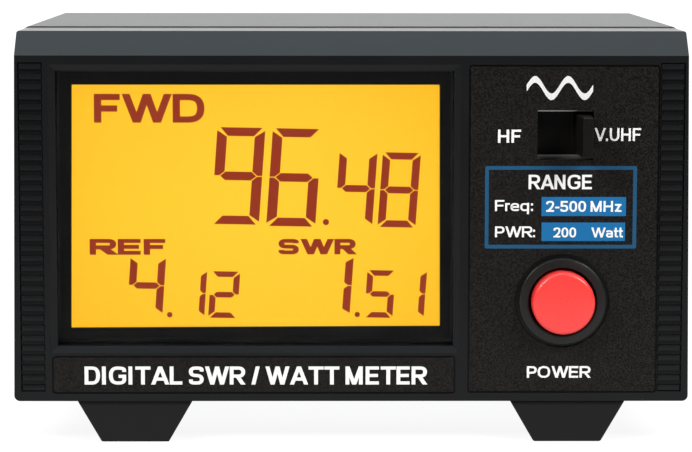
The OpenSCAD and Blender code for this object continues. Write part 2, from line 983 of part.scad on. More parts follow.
module vu_coupler_box() {
  coupler_box(vu_x);
}

// The through line of the short-wave coupler, a round bar between the two contacts.
module hf_line() {
  color("#c77b45")
    in_case()
      difference() {
        bar_x(line_depth, socket_z, 1.5, hf_x - socket_gap / 2, hf_x + socket_gap / 2);
        for (side = [-1, 1])
          bar_y(hf_x + side * socket_gap / 2, socket_z, cup_r, line_depth - 6, line_depth + 6);
      }
}

module hf_toroid() {
  color("#4a4c50")
    in_case()
      difference() {
        bar_x(line_depth, socket_z, 8, hf_x - 4, hf_x + 4);
        bar_x(line_depth, socket_z, 3.5, hf_x - 5, hf_x + 5);
      }
}

// The through line of the upper-band coupler, a flat strip over a ground plane.
module vu_line() {
  color("#c77b45")
    in_case()
      difference() {
        block([vu_x - socket_gap / 2, line_depth - 0.5, socket_z - 3],
              [vu_x + socket_gap / 2, line_depth + 0.5, socket_z + 3]);
        for (side = [-1, 1])
          bar_y(vu_x + side * socket_gap / 2, socket_z, cup_r, line_depth - 6, line_depth + 6);
      }
}

module sensor_board(x) {
  in_case() {
    block([x - box_w / 2 + 0.3, box_front - board_t, socket_z - box_h / 2 + 0.3],
          [x + box_w / 2 - 0.3, box_front, socket_z + box_h / 2 - 0.3]);
    // Plug header towards the display board.
    block([x - 5, box_front - board_t - 6, socket_z + 6], [x + 5, box_front - board_t, socket_z + 12]);
  }
}

module hf_sensor_board() {
  color("#1f6b3a")
    sensor_board(hf_x);
}

module vu_sensor_board() {
  color("#1f6b3a")
    sensor_board(vu_x);
}

// ---------- supply jack and wiring ----------

module dc_jack() {
  color("#1d1d1f")
    in_case()
      difference() {
        union() {
          bar_y(jack_x, jack_z, 7, rear_face, rear_face + 2);
          bar_y(jack_x, jack_z, 5.5, rear_face - 14, rear_face + 1);
        }
        bar_y(jack_x, jack_z, 3, rear_face - 9, rear_face + 3);
        bar_y(jack_x, jack_z, 1.03, rear_face - 15, rear_face);
      }
}

module dc_jack_pin() {
  color("#d8dadc")
    in_case()
      bar_y(jack_x, jack_z, 1, rear_face - 18, rear_face - 0.5);
}

module dc_jack_nut() {
  color("#c8cacc")
    in_case()
      difference() {
        translate([jack_x, panel_front - 2.5, jack_z])
          rotate([-90, 0, 0])
            cylinder(r = 8, h = 2.5, $fn = 6);
        bar_y(jack_x, jack_z, 5.53, panel_front - 4, panel_front + 1);
      }
}

module supply_wires() {
  wire_r = 0.9;
  jack_end = rear_face - 18;
  tag_end = barrel_end + 12;
  header_back = board_depth + board_t + 6;
  color("#b32a22")
    in_case() {
      wire([[jack_x, jack_end, jack_z], [jack_x, 86, jack_z],
            [push_x, 46, push_z + 3.2], [push_x, tag_end, push_z + 3.2]], wire_r);
      wire([[push_x, tag_end, push_z - 3.2], [push_x, 44, push_z - 3.2],
            [-51, 40, 33], [-51, header_back, 33]], wire_r);
    }
}

module sensor_wires() {
  wire_r = 0.8;
  header_front = box_front - board_t - 6;
  header_z = socket_z + 9;
  tag = switch_depth + switch_box_depth + 3.5;
  color("#d8d2c0")
    in_case() {
      wire([[hf_x, header_front, header_z], [hf_x, 66, header_z], [control_x - lever_travel, 30, slot_z - 3],
            [control_x - lever_travel, tag, slot_z - 3]], wire_r);
      wire([[vu_x, header_front, header_z], [vu_x, 66, header_z], [control_x + lever_travel, 30, slot_z - 3],
            [control_x + lever_travel, tag, slot_z - 3]], wire_r);
      wire([[control_x, tag, slot_z + 3], [control_x, 24, slot_z + 3], [-48, 24, 69],
            [-48, board_depth + board_t + 6, 69]], wire_r);
    }
}

front_bezel();
display_lens();
name_plate();
control_plate();
lcd_frame();
lcd_glass();
backlight();
contact_strips();
display_board();
board_components();
board_screws();
band_switch_frame();
band_switch_base();
band_switch_knob();
band_switch_wipers();
band_switch_screws();
power_switch_body();
power_switch_nut();
power_switch_washer();
power_switch_cap();
power_switch_plunger();
power_switch_spring();
power_switch_base();
power_switch_terminals();
top_cover();
bottom_chassis();
rear_panel();
cover_screws();
bezel_screws();
panel_screws();
front_left_foot();
front_right_foot();
rear_left_foot();
rear_right_foot();
foot_screws();
hf_tx_shell();
hf_ant_shell();
vu_tx_shell();
vu_ant_shell();
hf_tx_insulator();
hf_ant_insulator();
vu_tx_insulator();
vu_ant_insulator();
hf_tx_contact();
hf_ant_contact();
vu_tx_contact();
vu_ant_contact();
socket_screws();
hf_coupler_box();
vu_coupler_box();
hf_line();
hf_toroid();
vu_line();
hf_sensor_board();
vu_sensor_board();
dc_jack();
dc_jack_pin();
dc_jack_nut();
supply_wires();
sensor_wires();
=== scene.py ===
"""Finished look of a desktop digital SWR and power meter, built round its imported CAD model."""
import json
import math

import bmesh
import bpy
from mathutils import Euler, Matrix, Vector

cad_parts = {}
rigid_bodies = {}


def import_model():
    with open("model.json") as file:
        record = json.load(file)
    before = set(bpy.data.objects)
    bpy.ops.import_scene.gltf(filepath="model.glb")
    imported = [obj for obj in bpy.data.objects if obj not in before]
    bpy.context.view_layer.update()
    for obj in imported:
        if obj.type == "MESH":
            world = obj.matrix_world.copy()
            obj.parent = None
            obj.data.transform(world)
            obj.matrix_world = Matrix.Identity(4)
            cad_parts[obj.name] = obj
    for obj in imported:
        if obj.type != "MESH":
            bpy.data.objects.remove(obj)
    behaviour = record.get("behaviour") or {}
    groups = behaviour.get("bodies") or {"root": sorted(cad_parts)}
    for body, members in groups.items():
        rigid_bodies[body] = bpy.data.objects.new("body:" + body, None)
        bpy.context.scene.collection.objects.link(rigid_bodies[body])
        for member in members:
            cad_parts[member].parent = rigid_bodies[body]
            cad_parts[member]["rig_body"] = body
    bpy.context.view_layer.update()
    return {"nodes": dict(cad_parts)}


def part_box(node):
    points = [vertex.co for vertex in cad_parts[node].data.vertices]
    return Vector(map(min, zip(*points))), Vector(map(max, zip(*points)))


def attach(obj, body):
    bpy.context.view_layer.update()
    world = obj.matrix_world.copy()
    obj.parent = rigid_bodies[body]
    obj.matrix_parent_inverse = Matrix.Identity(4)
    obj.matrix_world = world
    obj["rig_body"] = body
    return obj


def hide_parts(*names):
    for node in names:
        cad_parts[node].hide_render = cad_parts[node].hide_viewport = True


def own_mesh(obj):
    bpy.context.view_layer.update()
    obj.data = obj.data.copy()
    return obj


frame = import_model()
scene = bpy.context.scene
scene.view_settings.view_transform = "Standard"

# ---------- camera ----------
# A long lens stands square to the front, a little to the left and just above the lid.
# It looks down by a few degrees, so the lid shows as a thin strip.
camera = bpy.data.objects.new("camera", bpy.data.cameras.new("camera"))
scene.collection.objects.link(camera)
camera.location = (-0.00578, -0.64274, 0.11765)
look_down = math.radians(6.683)
look_right = math.radians(0.445)
lean = math.radians(0.0605)
level_look = Euler((math.radians(90) - look_down, 0, -look_right)).to_matrix()
camera.rotation_euler = (level_look @ Matrix.Rotation(lean, 3, "Z")).to_euler()
camera.data.lens = 135.87
camera.data.sensor_width = 36
scene.camera = camera


# ---------- studio ----------
# A pale table and a pale backdrop, with one panel of light overhead, one over the backdrop
# and a softbox high up on each side. None of it belongs to the object.
class Signal:
    """A number or a colour that varies over a surface."""

    def __init__(self, finish, socket):
        self.finish = finish
        self.socket = socket

    def maths(self, operation, a, b):
        return self.finish.node("Math", {"operation": operation}, {0: a, 1: b})

    def __add__(self, other):
        return self.maths("ADD", self, other)

    def __radd__(self, other):
        return self.maths("ADD", other, self)

    def __sub__(self, other):
        return self.maths("SUBTRACT", self, other)

    def __rsub__(self, other):
        return self.maths("SUBTRACT", other, self)

    def __mul__(self, other):
        return self.maths("MULTIPLY", self, other)

    def __rmul__(self, other):
        return self.maths("MULTIPLY", other, self)


class Finish:
    """A material in the making: one principled shader and the nodes that feed it."""

    def __init__(self, name, constants):
        self.material = bpy.data.materials.new(name)
        self.material.use_nodes = True
        self.tree = self.material.node_tree
        self.shader = self.tree.nodes["Principled BSDF"]
        for label, value in constants.items():
            self.shader.inputs[label].default_value = value

    def node(self, kind, settings, sockets, result=0):
        """Adds a node of a kind, with its settings and with the values or links of its sockets."""
        made = self.tree.nodes.new("ShaderNode" + kind)
        for label, value in settings.items():
            if label == "stops":
                ramp = made.color_ramp
                while len(ramp.elements) < len(value):
                    ramp.elements.new(0.5)
                for element, (place, colour) in zip(ramp.elements, value):
                    element.position = place
                    element.color = (*colour, 1)
            else:
                setattr(made, label, value)
        for label, value in sockets.items():
            if isinstance(value, Signal):
                self.tree.links.new(value.socket, made.inputs[label])
            else:
                made.inputs[label].default_value = value
        return Signal(self, made.outputs[result])

    def place(self):
        return self.node("TexCoord", {}, {}, "Object")

    def axis(self, letter):
        return self.node("SeparateXYZ", {}, {0: self.place()}, letter)

    def noise(self, size, detail=2.0, rough=0.5):
        return self.node("TexNoise", {}, {
            "Vector": self.place(), "Scale": 1 / size, "Detail": detail, "Roughness": rough})

    def mix(self, amount, low, high):
        return self.node("Mix", {"data_type": "RGBA"}, {0: amount, 6: (*low, 1), 7: (*high, 1)}, 2)

    def feed(self, label, signal):
        self.tree.links.new(signal.socket, self.shader.inputs[label])

    def tint(self, amount, low, high):
        """Varies the colour between two."""
        self.feed("Base Color", self.mix(amount, low, high))

    def polish(self, amount, low, high):
        """Varies the roughness between two."""
        self.feed("Roughness", self.node("MapRange", {}, {0: amount, 3: low, 4: high}))

    def relief(self, height, distance, strength):
        """Raises or sinks the surface a little, in its shading only."""
        self.feed("Normal", self.node("Bump", {}, {
            "Height": height, "Distance": distance, "Strength": strength}))


def new_piece(name, mesh, finish):
    """An object at the origin that shows a mesh in one finish."""
    piece = bpy.data.objects.new(name, mesh)
    scene.collection.objects.link(piece)
    mesh.materials.clear()
    mesh.materials.append(finish.material)
    return piece


def sheet_mesh(name, corners):
    mesh = bpy.data.meshes.new(name)
    mesh.from_pydata(corners, [], [range(len(corners))])
    return mesh


table_paint = Finish("table_paint", {"Roughness": 0.8, "Specular IOR Level": 0.1, "Emission Strength": 1.0})
# The table glows like a light box, more round the object than towards the camera.
table_glow = table_paint.node("MapRange", {"interpolation_type": "SMOOTHSTEP"}, {
    "Value": table_paint.axis("Y"), "From Min": -0.50, "From Max": -0.10})
table_paint.tint(table_paint.noise(0.4, 1), (0.10, 0.10, 0.10), (0.12, 0.12, 0.12))
table_paint.feed("Emission Color", table_paint.mix(table_glow, (0.36, 0.36, 0.36), (0.90, 0.90, 0.90)))
table = new_piece("table", sheet_mesh("table", [
    (-4, -3, 0), (4, -3, 0), (4, 4.2, 0), (-4, 4.2, 0)]), table_paint)

backdrop_paint = Finish("backdrop_paint", {
    "Roughness": 0.9, "Emission Color": (1, 1, 0.98, 1), "Emission Strength": 0.9})
backdrop_paint.tint(backdrop_paint.noise(0.5, 1), (0.80, 0.80, 0.80), (0.84, 0.84, 0.84))
backdrop = new_piece("backdrop", sheet_mesh("backdrop", [
    (-4, 4.2, 0), (4, 4.2, 0), (4, 4.2, 3), (-4, 4.2, 3)]), backdrop_paint)

scene.world = bpy.data.worlds.new("studio_air")
scene.world.use_nodes = True
air = scene.world.node_tree.nodes["Background"].inputs
air["Color"].default_value = (0.95, 0.97, 1, 1)
air["Strength"].default_value = 0.05


def softbox(name, at, aim, width, height, power, colour, spread):
    light = bpy.data.objects.new(name, bpy.data.lights.new(name, "AREA"))
    scene.collection.objects.link(light)
    light.data.shape = "RECTANGLE"
    light.data.size = width
    light.data.size_y = height
    light.data.energy = power
    light.data.color = colour
    light.data.spread = math.radians(spread)
    light.location = at
    light.rotation_euler = (Vector(aim) - Vector(at)).to_track_quat("-Z", "Y").to_euler()


middle = (0, 0, 0.05)
softbox("overhead_panel", (0, 0.22, 1.1), (0, 0.22, 0), 1.4, 1.1, 6.8, (0.79, 0.92, 1.0), 90)
softbox("backdrop_panel", (0, 2.3, 2.2), (0, 2.6, 0), 4.0, 2.4, 60.0, (1.0, 1.0, 1.0), 120)
softbox("left_softbox", (-0.60, -0.60, 0.62), middle, 0.34, 0.34, 1.1, (1.0, 0.98, 0.95), 60)
softbox("right_softbox", (0.60, -0.60, 0.62), middle, 0.34, 0.34, 1.1, (1.0, 0.98, 0.95), 60)

# ---------- front bezel ----------
# One black ABS moulding: face, skirt, window bevel and two shallow recesses for the plates.
# It has a fine moulded grain, and its long edges are slightly rounded where the tool parts.
mm = 0.001
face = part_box("front_bezel")[0].y


def settle(piece):
    """Turns a piece and its modifiers into one plain mesh."""
    bpy.context.view_layer.update()
    evaluated = piece.evaluated_get(bpy.context.evaluated_depsgraph_get())
    plain = bpy.data.meshes.new_from_object(evaluated)
    piece.modifiers.clear()
    piece.data = plain


def cad_copy(node, finish):
    """A copy of a CAD node's shape, made one clean mesh that can be worked on."""
    mesh = frame["nodes"][node].data.copy()
    form = bmesh.new()
    form.from_mesh(mesh)
    bmesh.ops.remove_doubles(form, verts=form.verts, dist=2e-6)
    bmesh.ops.dissolve_limit(form, angle_limit=math.radians(0.4), verts=form.verts, edges=form.edges)
    form.to_mesh(mesh)
    form.free()
    return new_piece("fine_" + node, mesh, finish)


def add_box(form, low, high):
    """Adds a box to a mesh under construction."""
    size = Vector(high) - Vector(low)
    place = Matrix.Translation(Vector(low) + size / 2) @ Matrix.Diagonal((*size, 1))
    bmesh.ops.create_cube(form, size=1, matrix=place)


def subtract(piece, cutter):
    """Cuts one piece's shape out of another, and removes the cutter."""
    tool = piece.modifiers.new("cut", "BOOLEAN")
    tool.object = cutter
    tool.solver = "EXACT"
    settle(piece)
    bpy.data.objects.remove(cutter)


def cut(piece, boxes):
    """Cuts boxes, each a lowest and a highest corner, out of a piece."""
    form = bmesh.new()
    for low, high in boxes:
        add_box(form, low, high)
    mesh = bpy.data.meshes.new("cutter")
    form.to_mesh(mesh)
    form.free()
    cutter = bpy.data.objects.new("cutter", mesh)
    scene.collection.objects.link(cutter)
    subtract(piece, cutter)


def soften(piece, width, segments):
    """Rounds a piece's hard edges and keeps its flat faces flat."""
    rounding = piece.modifiers.new("rounding", "BEVEL")
    rounding.width = width
    rounding.segments = segments
    rounding.limit_method = "ANGLE"
    rounding.angle_limit = math.radians(28)
    rounding.miter_outer = "MITER_ARC"
    piece.data.shade_smooth()
    flatten = piece.modifiers.new("flatten", "WEIGHTED_NORMAL")
    flatten.keep_sharp = True
    settle(piece)


def stand_for(piece, node):
    """A finished piece takes over from its CAD node, on the same body."""
    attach(piece, frame["nodes"][node]["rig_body"])
    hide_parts(node)


def refine(node, finish, width, segments):
    """A CAD node's own shape takes over from it, with its edges rounded."""
    piece = cad_copy(node, finish)
    soften(piece, width, segments)
    stand_for(piece, node)


def join_case(piece):
    """A piece that the CAD model lacks is fixed to the case."""
    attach(piece, "case")


def dress(finish, *nodes):
    """CAD nodes that keep their own shape get a finish."""
    for node in nodes:
        for holder in frame["nodes"][node].material_slots:
            holder.material = finish.material


bezel_plastic = Finish("bezel_plastic", {"Specular IOR Level": 0.16})
mould_grain = bezel_plastic.noise(0.22 * mm, 3)
mould_cloud = bezel_plastic.noise(14 * mm, 2)
bezel_plastic.tint(mould_cloud, (0.0035, 0.0037, 0.0042), (0.0060, 0.0063, 0.0070))
bezel_plastic.polish(mould_grain, 0.25, 0.36)
bezel_plastic.relief(mould_grain, 0.008 * mm, 0.35)

rib_end = 74.6 * mm
rib_root = rib_end - 5.5 * mm
rib_low = 12.0 * mm
rib_step = 2.27 * mm
rib_height = 1.15 * mm
rib_count = 33
rib_stand = 0.7 * mm
rib_high = rib_low + rib_step * (rib_count - 1) + rib_height
bezel = cad_copy("front_bezel", bezel_plastic)
cut(bezel, [
    ((min(side * rib_root, side * rib_end), face - mm, rib_low - 0.3 * mm),
     (max(side * rib_root, side * rib_end), face + rib_stand, rib_high + 0.3 * mm))
    for side in (-1, 1)])
soften(bezel, 0.3 * mm, 3)
stand_for(bezel, "front_bezel")


# ---------- grip ribs ----------
# Each end of the face has a column of 33 short ribs, moulded with the bezel.
# Their outer ends round over into the sides, which is where they catch the light.
class Recipe:
    """A Geometry Nodes tree with named inputs, run once on a piece and then applied."""

    def __init__(self, name, inputs):
        self.tree = bpy.data.node_groups.new(name, "GeometryNodeTree")
        self.tree.interface.new_socket("Geometry", in_out="INPUT", socket_type="NodeSocketGeometry")
        for label, kind in inputs.items():
            self.tree.interface.new_socket(label, in_out="INPUT", socket_type="NodeSocket" + kind)
        self.tree.interface.new_socket("Geometry", in_out="OUTPUT", socket_type="NodeSocketGeometry")
        self.given = self.tree.nodes.new("NodeGroupInput").outputs

    def node(self, kind, sockets):
        made = self.tree.nodes.new("GeometryNode" + kind)
        for label, value in sockets.items():
            if isinstance(value, bpy.types.NodeSocket):
                self.tree.links.new(value, made.inputs[label])
            else:
                made.inputs[label].default_value = value
        return made.outputs[0]

    def end(self, shape):
        real = self.node("RealizeInstances", {0: shape})
        painted = self.node("SetMaterial", {"Geometry": real, "Material": self.given["Material"]})
        output = self.tree.nodes.new("NodeGroupOutput")
        self.tree.links.new(painted, output.inputs[0])

    def run(self, piece, finish, values):
        values = {**values, "Material": finish.material}
        modifier = piece.modifiers.new(self.tree.name, "NODES")
        modifier.node_group = self.tree
        for item in self.tree.interface.items_tree:
            if item.in_out == "INPUT" and item.name in values:
                modifier[item.identifier] = values[item.name]
        settle(piece)


repeat = Recipe("repeat_in_rows", {
    "Count": "Int", "Step": "Vector", "Rows": "Int", "Row Step": "Vector", "Material": "Material"})
one_row = repeat.node("MeshLine", {"Count": repeat.given["Count"], "Offset": repeat.given["Step"]})
row_of_pieces = repeat.node("InstanceOnPoints", {"Points": one_row, "Instance": repeat.given["Geometry"]})
row_starts = repeat.node("MeshLine", {"Count": repeat.given["Rows"], "Offset": repeat.given["Row Step"]})
repeat.end(repeat.node("InstanceOnPoints", {"Points": row_starts, "Instance": row_of_pieces}))


def in_rows(piece, finish, count, step, rows=1, row_step=(0, 0, 0)):
    """Repeats a piece along a line, and the line in rows."""
    repeat.run(piece, finish, {"Count": count, "Step": step, "Rows": rows, "Row Step": row_step})


def rounded_bar(name, low, high, radii, finish):
    """A box between two corners. Each of `radii` picks edges by their middle and rounds them."""
    form = bmesh.new()
    add_box(form, low, high)
    for picks, radius, segments in radii:
        edges = [edge for edge in form.edges if picks((edge.verts[0].co + edge.verts[1].co) / 2)]
        bmesh.ops.bevel(form, geom=edges, offset=radius, offset_type="OFFSET", segments=segments,
                        profile=0.5, affect="EDGES", clamp_overlap=True)
    mesh = bpy.data.meshes.new(name)
    form.to_mesh(mesh)
    form.free()
    mesh.shade_smooth()
    mesh.set_sharp_from_angle(angle=math.radians(25))
    return new_piece(name, mesh, finish)


for side, word in ((-1, "left"), (1, "right")):
    inner = side * (rib_end - 5.3 * mm)
    outer = side * (rib_end - 0.1 * mm)
    ribs = rounded_bar("ribs_" + word, (min(inner, outer), face, rib_low),
                       (max(inner, outer), face + rib_stand + 0.3 * mm, rib_low + rib_height), [
        (lambda spot, edge=outer: abs(spot.x - edge) < 1e-5 and spot.y < face + 1e-5, 0.62 * mm, 6),
        (lambda spot: spot.y < face + 1e-5, 0.25 * mm, 3)], bezel_plastic)
    in_rows(ribs, bezel_plastic, rib_count, (0, 0, rib_step))
    join_case(ribs)

# ---------- display cell ----------
# The glass cell sits in a black moulded holder in front of an acrylic light guide.
# Two rubber strips full of fine contacts press between the glass and the board.
holder_plastic = Finish("holder_plastic", {"Roughness": 0.4, "Specular IOR Level": 0.3})
holder_grain = holder_plastic.noise(0.3 * mm)
holder_plastic.tint(holder_grain, (0.006, 0.006, 0.006), (0.010, 0.010, 0.010))
holder_plastic.relief(holder_grain, 0.01 * mm, 0.5)
dress(holder_plastic, "lcd_frame")

amber_glass = Finish("amber_glass", {"Roughness": 0.25, "Emission Strength": 1.0, "Specular IOR Level": 0.1})
from_middle_x = amber_glass.axis("X") + 21.7 * mm
from_middle_z = amber_glass.axis("Z") - 53.2 * mm
reach = from_middle_x * from_middle_x * 380 + from_middle_z * from_middle_z * 620
lamp_cloud = amber_glass.noise(30 * mm, 1)
amber_glass.tint(lamp_cloud, (0.10, 0.045, 0.002), (0.12, 0.05, 0.002))
amber_glass.feed("Emission Color", amber_glass.mix(
    reach + (lamp_cloud - 0.5) * 0.25, (1.0, 0.600, 0.030), (0.985, 0.515, 0.014)))
dress(amber_glass, "lcd_glass")

guide_acrylic = Finish("guide_acrylic", {"Roughness": 0.3, "Transmission Weight": 0.3})
guide_acrylic.tint(guide_acrylic.noise(4 * mm), (0.80, 0.72, 0.50), (0.90, 0.82, 0.60))
dress(guide_acrylic, "backlight")

strip_rubber = Finish("strip_rubber", {"Roughness": 0.7})
strip_rubber.tint(
    strip_rubber.node("TexWave", {}, {"Vector": strip_rubber.place(), "Scale": 1 / (3 * mm)}, 1),
    (0.03, 0.03, 0.03), (0.30, 0.30, 0.31))
dress(strip_rubber, "contact_strips")

# ---------- display segments ----------
# The dark figures and words that the liquid crystal shows: slanted seven-bar digits with
# mitred ends, and wide capitals, all of them thin plates just in front of the glass.
segment_ink = Finish("segment_ink", {
    "Base Color": (0.02, 0.004, 0.002, 1), "Roughness": 0.5, "Specular IOR Level": 0.1,
    "Emission Strength": 1.0})
segment_ink.feed("Emission Color", segment_ink.mix(
    segment_ink.noise(6 * mm, 1), (0.270, 0.024, 0.005), (0.325, 0.034, 0.009)))
segment_front = face + 5.74 * mm
segment_back = face + 5.79 * mm
digit_slant = 0.072
digit_tilt = -0.0175
bar_gap = 0.21 * mm
dot_sides = 20
bars_of = {"1": "bc", "2": "abged", "4": "fgbc", "5": "afgcd", "6": "afgecd", "8": "abcdefg", "9": "abcdfg"}


def raise_outline(form, outline, front, back):
    """Adds a flat plate with the given (x, z) outline, listed the same way round as seen from the front."""
    turn = sum(a[0] * b[1] - b[0] * a[1] for a, b in zip(outline, outline[1:] + outline[:1]))
    points = outline if turn > 0 else outline[::-1]
    near = [form.verts.new((x, front, z)) for x, z in points]
    far = [form.verts.new((x, back, z)) for x, z in points]
    form.faces.new(near)
    form.faces.new(far[::-1])
    count = len(points)
    for i in range(count):
        form.faces.new((near[i], far[i], far[(i + 1) % count], near[(i + 1) % count]))


def raise_loop(form, outer, inner, front, back):
    """Adds a flat frame between two outlines with the same number of points."""
    count = len(outer)
    rings = [[form.verts.new((x, depth, z)) for x, z in line]
             for line, depth in ((outer, front), (inner, front), (inner, back), (outer, back))]
    for ring, following in zip(rings, rings[1:] + rings[:1]):
        for i in range(count):
            form.faces.new((ring[i], ring[(i + 1) % count], following[(i + 1) % count], following[i]))


def digit_bars(w, h, upright, level):
    """Outlines of the seven bars of a digit of width w and height h, lettered as usual."""
    half = h / 2
    gap = bar_gap
    tip = 0.3 * upright
    top = [(tip, h), (w - tip, h), (w - upright - gap, h - level), (upright + gap, h - level)]
    right = [(w, h - tip), (w, half + gap / 2), (w - upright / 2, half + gap / 2),
             (w - upright, half + gap / 2 + level / 2), (w - upright, h - level - gap)]
    centre = [(upright / 2 + gap, half), (upright + gap, half + level / 2),
              (w - upright - gap, half + level / 2), (w - upright / 2 - gap, half),
              (w - upright - gap, half - level / 2), (upright + gap, half - level / 2)]

    def below(outline):
        return [(x, h - z) for x, z in outline]

    def across(outline):
        return [(w - x, z) for x, z in outline]

    return {"a": top, "b": right, "c": below(right), "d": below(top),
            "e": below(across(right)), "f": across(right), "g": centre}


def draw_digit(form, figure, x0, x1, z0, z1, upright, level):
    """Draws one digit between the given limits, slant and tilt included."""
    h = z1 - z0
    w = x1 - x0 - digit_slant * h
    if figure == "1":
        upright = w
    for letter, outline in digit_bars(w, h, upright, level).items():
        if letter in bars_of[figure]:
            raise_outline(form, [
                (x0 + x + digit_slant * z, z0 + z + digit_tilt * (x - w / 2)) for x, z in outline],
                segment_front, segment_back)


def draw_dot(form, x, z, radius):
    raise_outline(form, [
        (x + radius * math.cos(i * math.tau / dot_sides), z + radius * math.sin(i * math.tau / dot_sides))
        for i in range(dot_sides)], segment_front, segment_back)


# Letters as pen strokes: ink width, space after, and strokes of (x, z) points in the letter's own box.
# A third number makes a point a round corner, and a stroke that ends where it starts is a ring.
box_ring = [(0, 0, 0.42), (1, 0, 0.42), (1, 1, 0.42), (0, 1, 0.42), (0, 0, 0.42)]
left_stem = [(0, 0), (0, 1)]
right_stem = [(1, 0), (1, 1)]
low_bar = [(0, 0), (1, 0)]
high_bar = [(0, 1), (1, 1)]
letters = {
    " ": (0.30, 0, []), "I": (0, 0.17, [left_stem]), "L": (0.70, 0.07, [[(0, 1), (0, 0), (1, 0)]]),
    ".": (0, 0.14, [[(0, 0), (0, 0.2)]]), "-": (0.36, 0.08, [[(0, 0.38), (1, 0.38)]]),
    ":": (0, 0.14, [[(0, 0), (0, 0.2)], [(0, 0.5), (0, 0.7)]]),
    "/": (0.46, 0.02, [[(0, 0), (1, 1)]]),
    "H": (0.82, 0.17, [left_stem, right_stem, [(0, 0.5), (1, 0.5)]]),
    "T": (0.84, 0.04, [high_bar, [(0.5, 0), (0.5, 1)]]),
    "E": (0.74, 0.10, [left_stem, high_bar, low_bar, [(0, 0.5), (0.93, 0.5)]]),
    "F": (0.70, 0.06, [left_stem, high_bar, [(0, 0.49), (0.9, 0.49)]]),
    "D": (0.86, 0.11, [[(0, 0), (1, 0, 0.46), (1, 1, 0.46), (0, 1), (0, 0)]]),
    "O": (1.00, 0.11, [box_ring]), "0": (0.68, 0.09, [box_ring]),
    "U": (0.82, 0.15, [[(0, 1), (0, 0, 0.4), (1, 0, 0.4), (1, 1)]]),
    "P": (0.78, 0.07, [left_stem, [(0, 1), (1, 1, 0.3), (1, 0.42, 0.3), (0, 0.42)]]),
    "R": (0.86, 0.05, [left_stem, [(0, 1), (1, 1, 0.28), (1, 0.46, 0.28), (0, 0.46)],
                       [(0.5, 0.46), (1, 0)]]),
    "A": (1.00, 0.03, [[(0, 0), (0.5, 1)], [(1, 0), (0.5, 1)], [(0.2, 0.26), (0.8, 0.26)]]),
    "V": (0.94, 0.02, [[(0, 1), (0.5, 0)], [(1, 1), (0.5, 0)]]),
    "W": (1.34, 0.03, [[(0, 1), (0.26, 0)], [(0.5, 1), (0.26, 0)],
                       [(0.5, 1), (0.74, 0)], [(1, 1), (0.74, 0)]]),
    "M": (0.96, 0.16, [left_stem, right_stem, [(0, 1), (0.5, 0)], [(1, 1), (0.5, 0)]]),
    "N": (0.82, 0.16, [left_stem, right_stem, [(0, 1), (1, 0)]]),
    "G": (0.96, 0.13, [[(1, 0.70), (1, 1, 0.4), (0, 1, 0.42), (0, 0, 0.42), (1, 0, 0.3), (1, 0.45),
                        (0.56, 0.45)]]),
    "S": (0.82, 0.08, [[(1, 0.72), (1, 1, 0.26), (0, 1, 0.26), (0, 0.52, 0.24), (1, 0.48, 0.24),
                        (1, 0, 0.26), (0, 0, 0.26), (0, 0.28)]]),
    "2": (0.68, 0.10, [[(0, 0.70), (0, 1, 0.3), (1, 1, 0.3), (1, 0.55, 0.25), (0.05, 0)], low_bar]),
    "5": (0.68, 0.10, [[(0.95, 1), (0.06, 1), (0.06, 0.55), (1, 0.58, 0.28), (1, 0, 0.28),
                        (0, 0, 0.26), (0, 0.26)]]),
    "r": (0.36, 0.04, [[(0, 0), (0, 0.72)], [(0, 0.36), (0, 0.67, 0.25), (1, 0.67)]]),
    "e": (0.64, 0.09, [[(0.1, 0.34), (1, 0.34), (1, 0.67, 0.28), (0, 0.67, 0.28), (0, 0, 0.28),
                        (1, 0, 0.24), (1, 0.17)]]),
    "q": (0.66, 0.14, [[(0, 0, 0.28), (1, 0, 0.2), (1, 0.67, 0.2), (0, 0.67, 0.28), (0, 0, 0.28)],
                       [(1, -0.28), (1, 0.74)]]),
    "z": (0.56, 0.06, [[(0, 0.67), (1, 0.67)], low_bar, [(0.06, 0.05), (0.94, 0.72)]]),
    "a": (0.64, 0.09, [[(0.04, 0.52), (0.04, 0.67, 0.2), (1, 0.67, 0.24), (1, 0)],
                       [(1, 0.36), (0, 0.36, 0.18), (0, 0, 0.18), (1, 0, 0.1)]]),
    "t": (0.40, 0.04, [[(0.4, 0.98), (0.4, 0, 0.12), (1, 0)], [(0, 0.67), (1, 0.67)]]),
}


def rounded_path(points, closed):
    """A stroke's path with its round corners eased into curves."""
    path = []
    last = len(points) - 1
    for i, (x, z, *corner) in enumerate(points):
        here = Vector((x, z))
        if not corner or (not closed and i in (0, last)):
            path.append(here)
            continue
        back = Vector(points[i - 1][:2]) - here
        on = Vector(points[(i + 1) % (last + 1)][:2]) - here
        start = here + back.normalized() * min(corner[0], back.length / 2)
        end = here + on.normalized() * min(corner[0], on.length / 2)
        for step in range(7):
            s = step / 6
            path.append(start * (1 - s) ** 2 + here * 2 * s * (1 - s) + end * s ** 2)
    return [spot for i, spot in enumerate(path) if (spot - path[i - 1]).length > 1e-3]


def stroke_sides(path, closed, stem, bar):
    """The two sides of a stroke. Uprights are as wide as the stem, level parts as the bar."""
    sides = ([], [])
    last = len(path) - 1
    for i, point in enumerate(path):
        ways = []
        if closed or i > 0:
            ways.append(point - path[i - 1])
        if closed or i < last:
            ways.append(path[(i + 1) % (last + 1)] - point)
        normals = [Vector((-way.y, way.x)).normalized() for way in ways]
        if len(normals) == 2:
            spread = (normals[0] + normals[1]) / max(1 + normals[0].dot(normals[1]), 0.3)
        else:
            spread = normals[0]
            if abs(spread.x) > 0.1 and abs(spread.y) > 0.1:
                spread = Vector((1 / spread.x, 0))
        offset = Vector((spread.x * stem / 2, spread.y * bar / 2))
        sides[0].append(point + offset)
        sides[1].append(point - offset)
    return sides


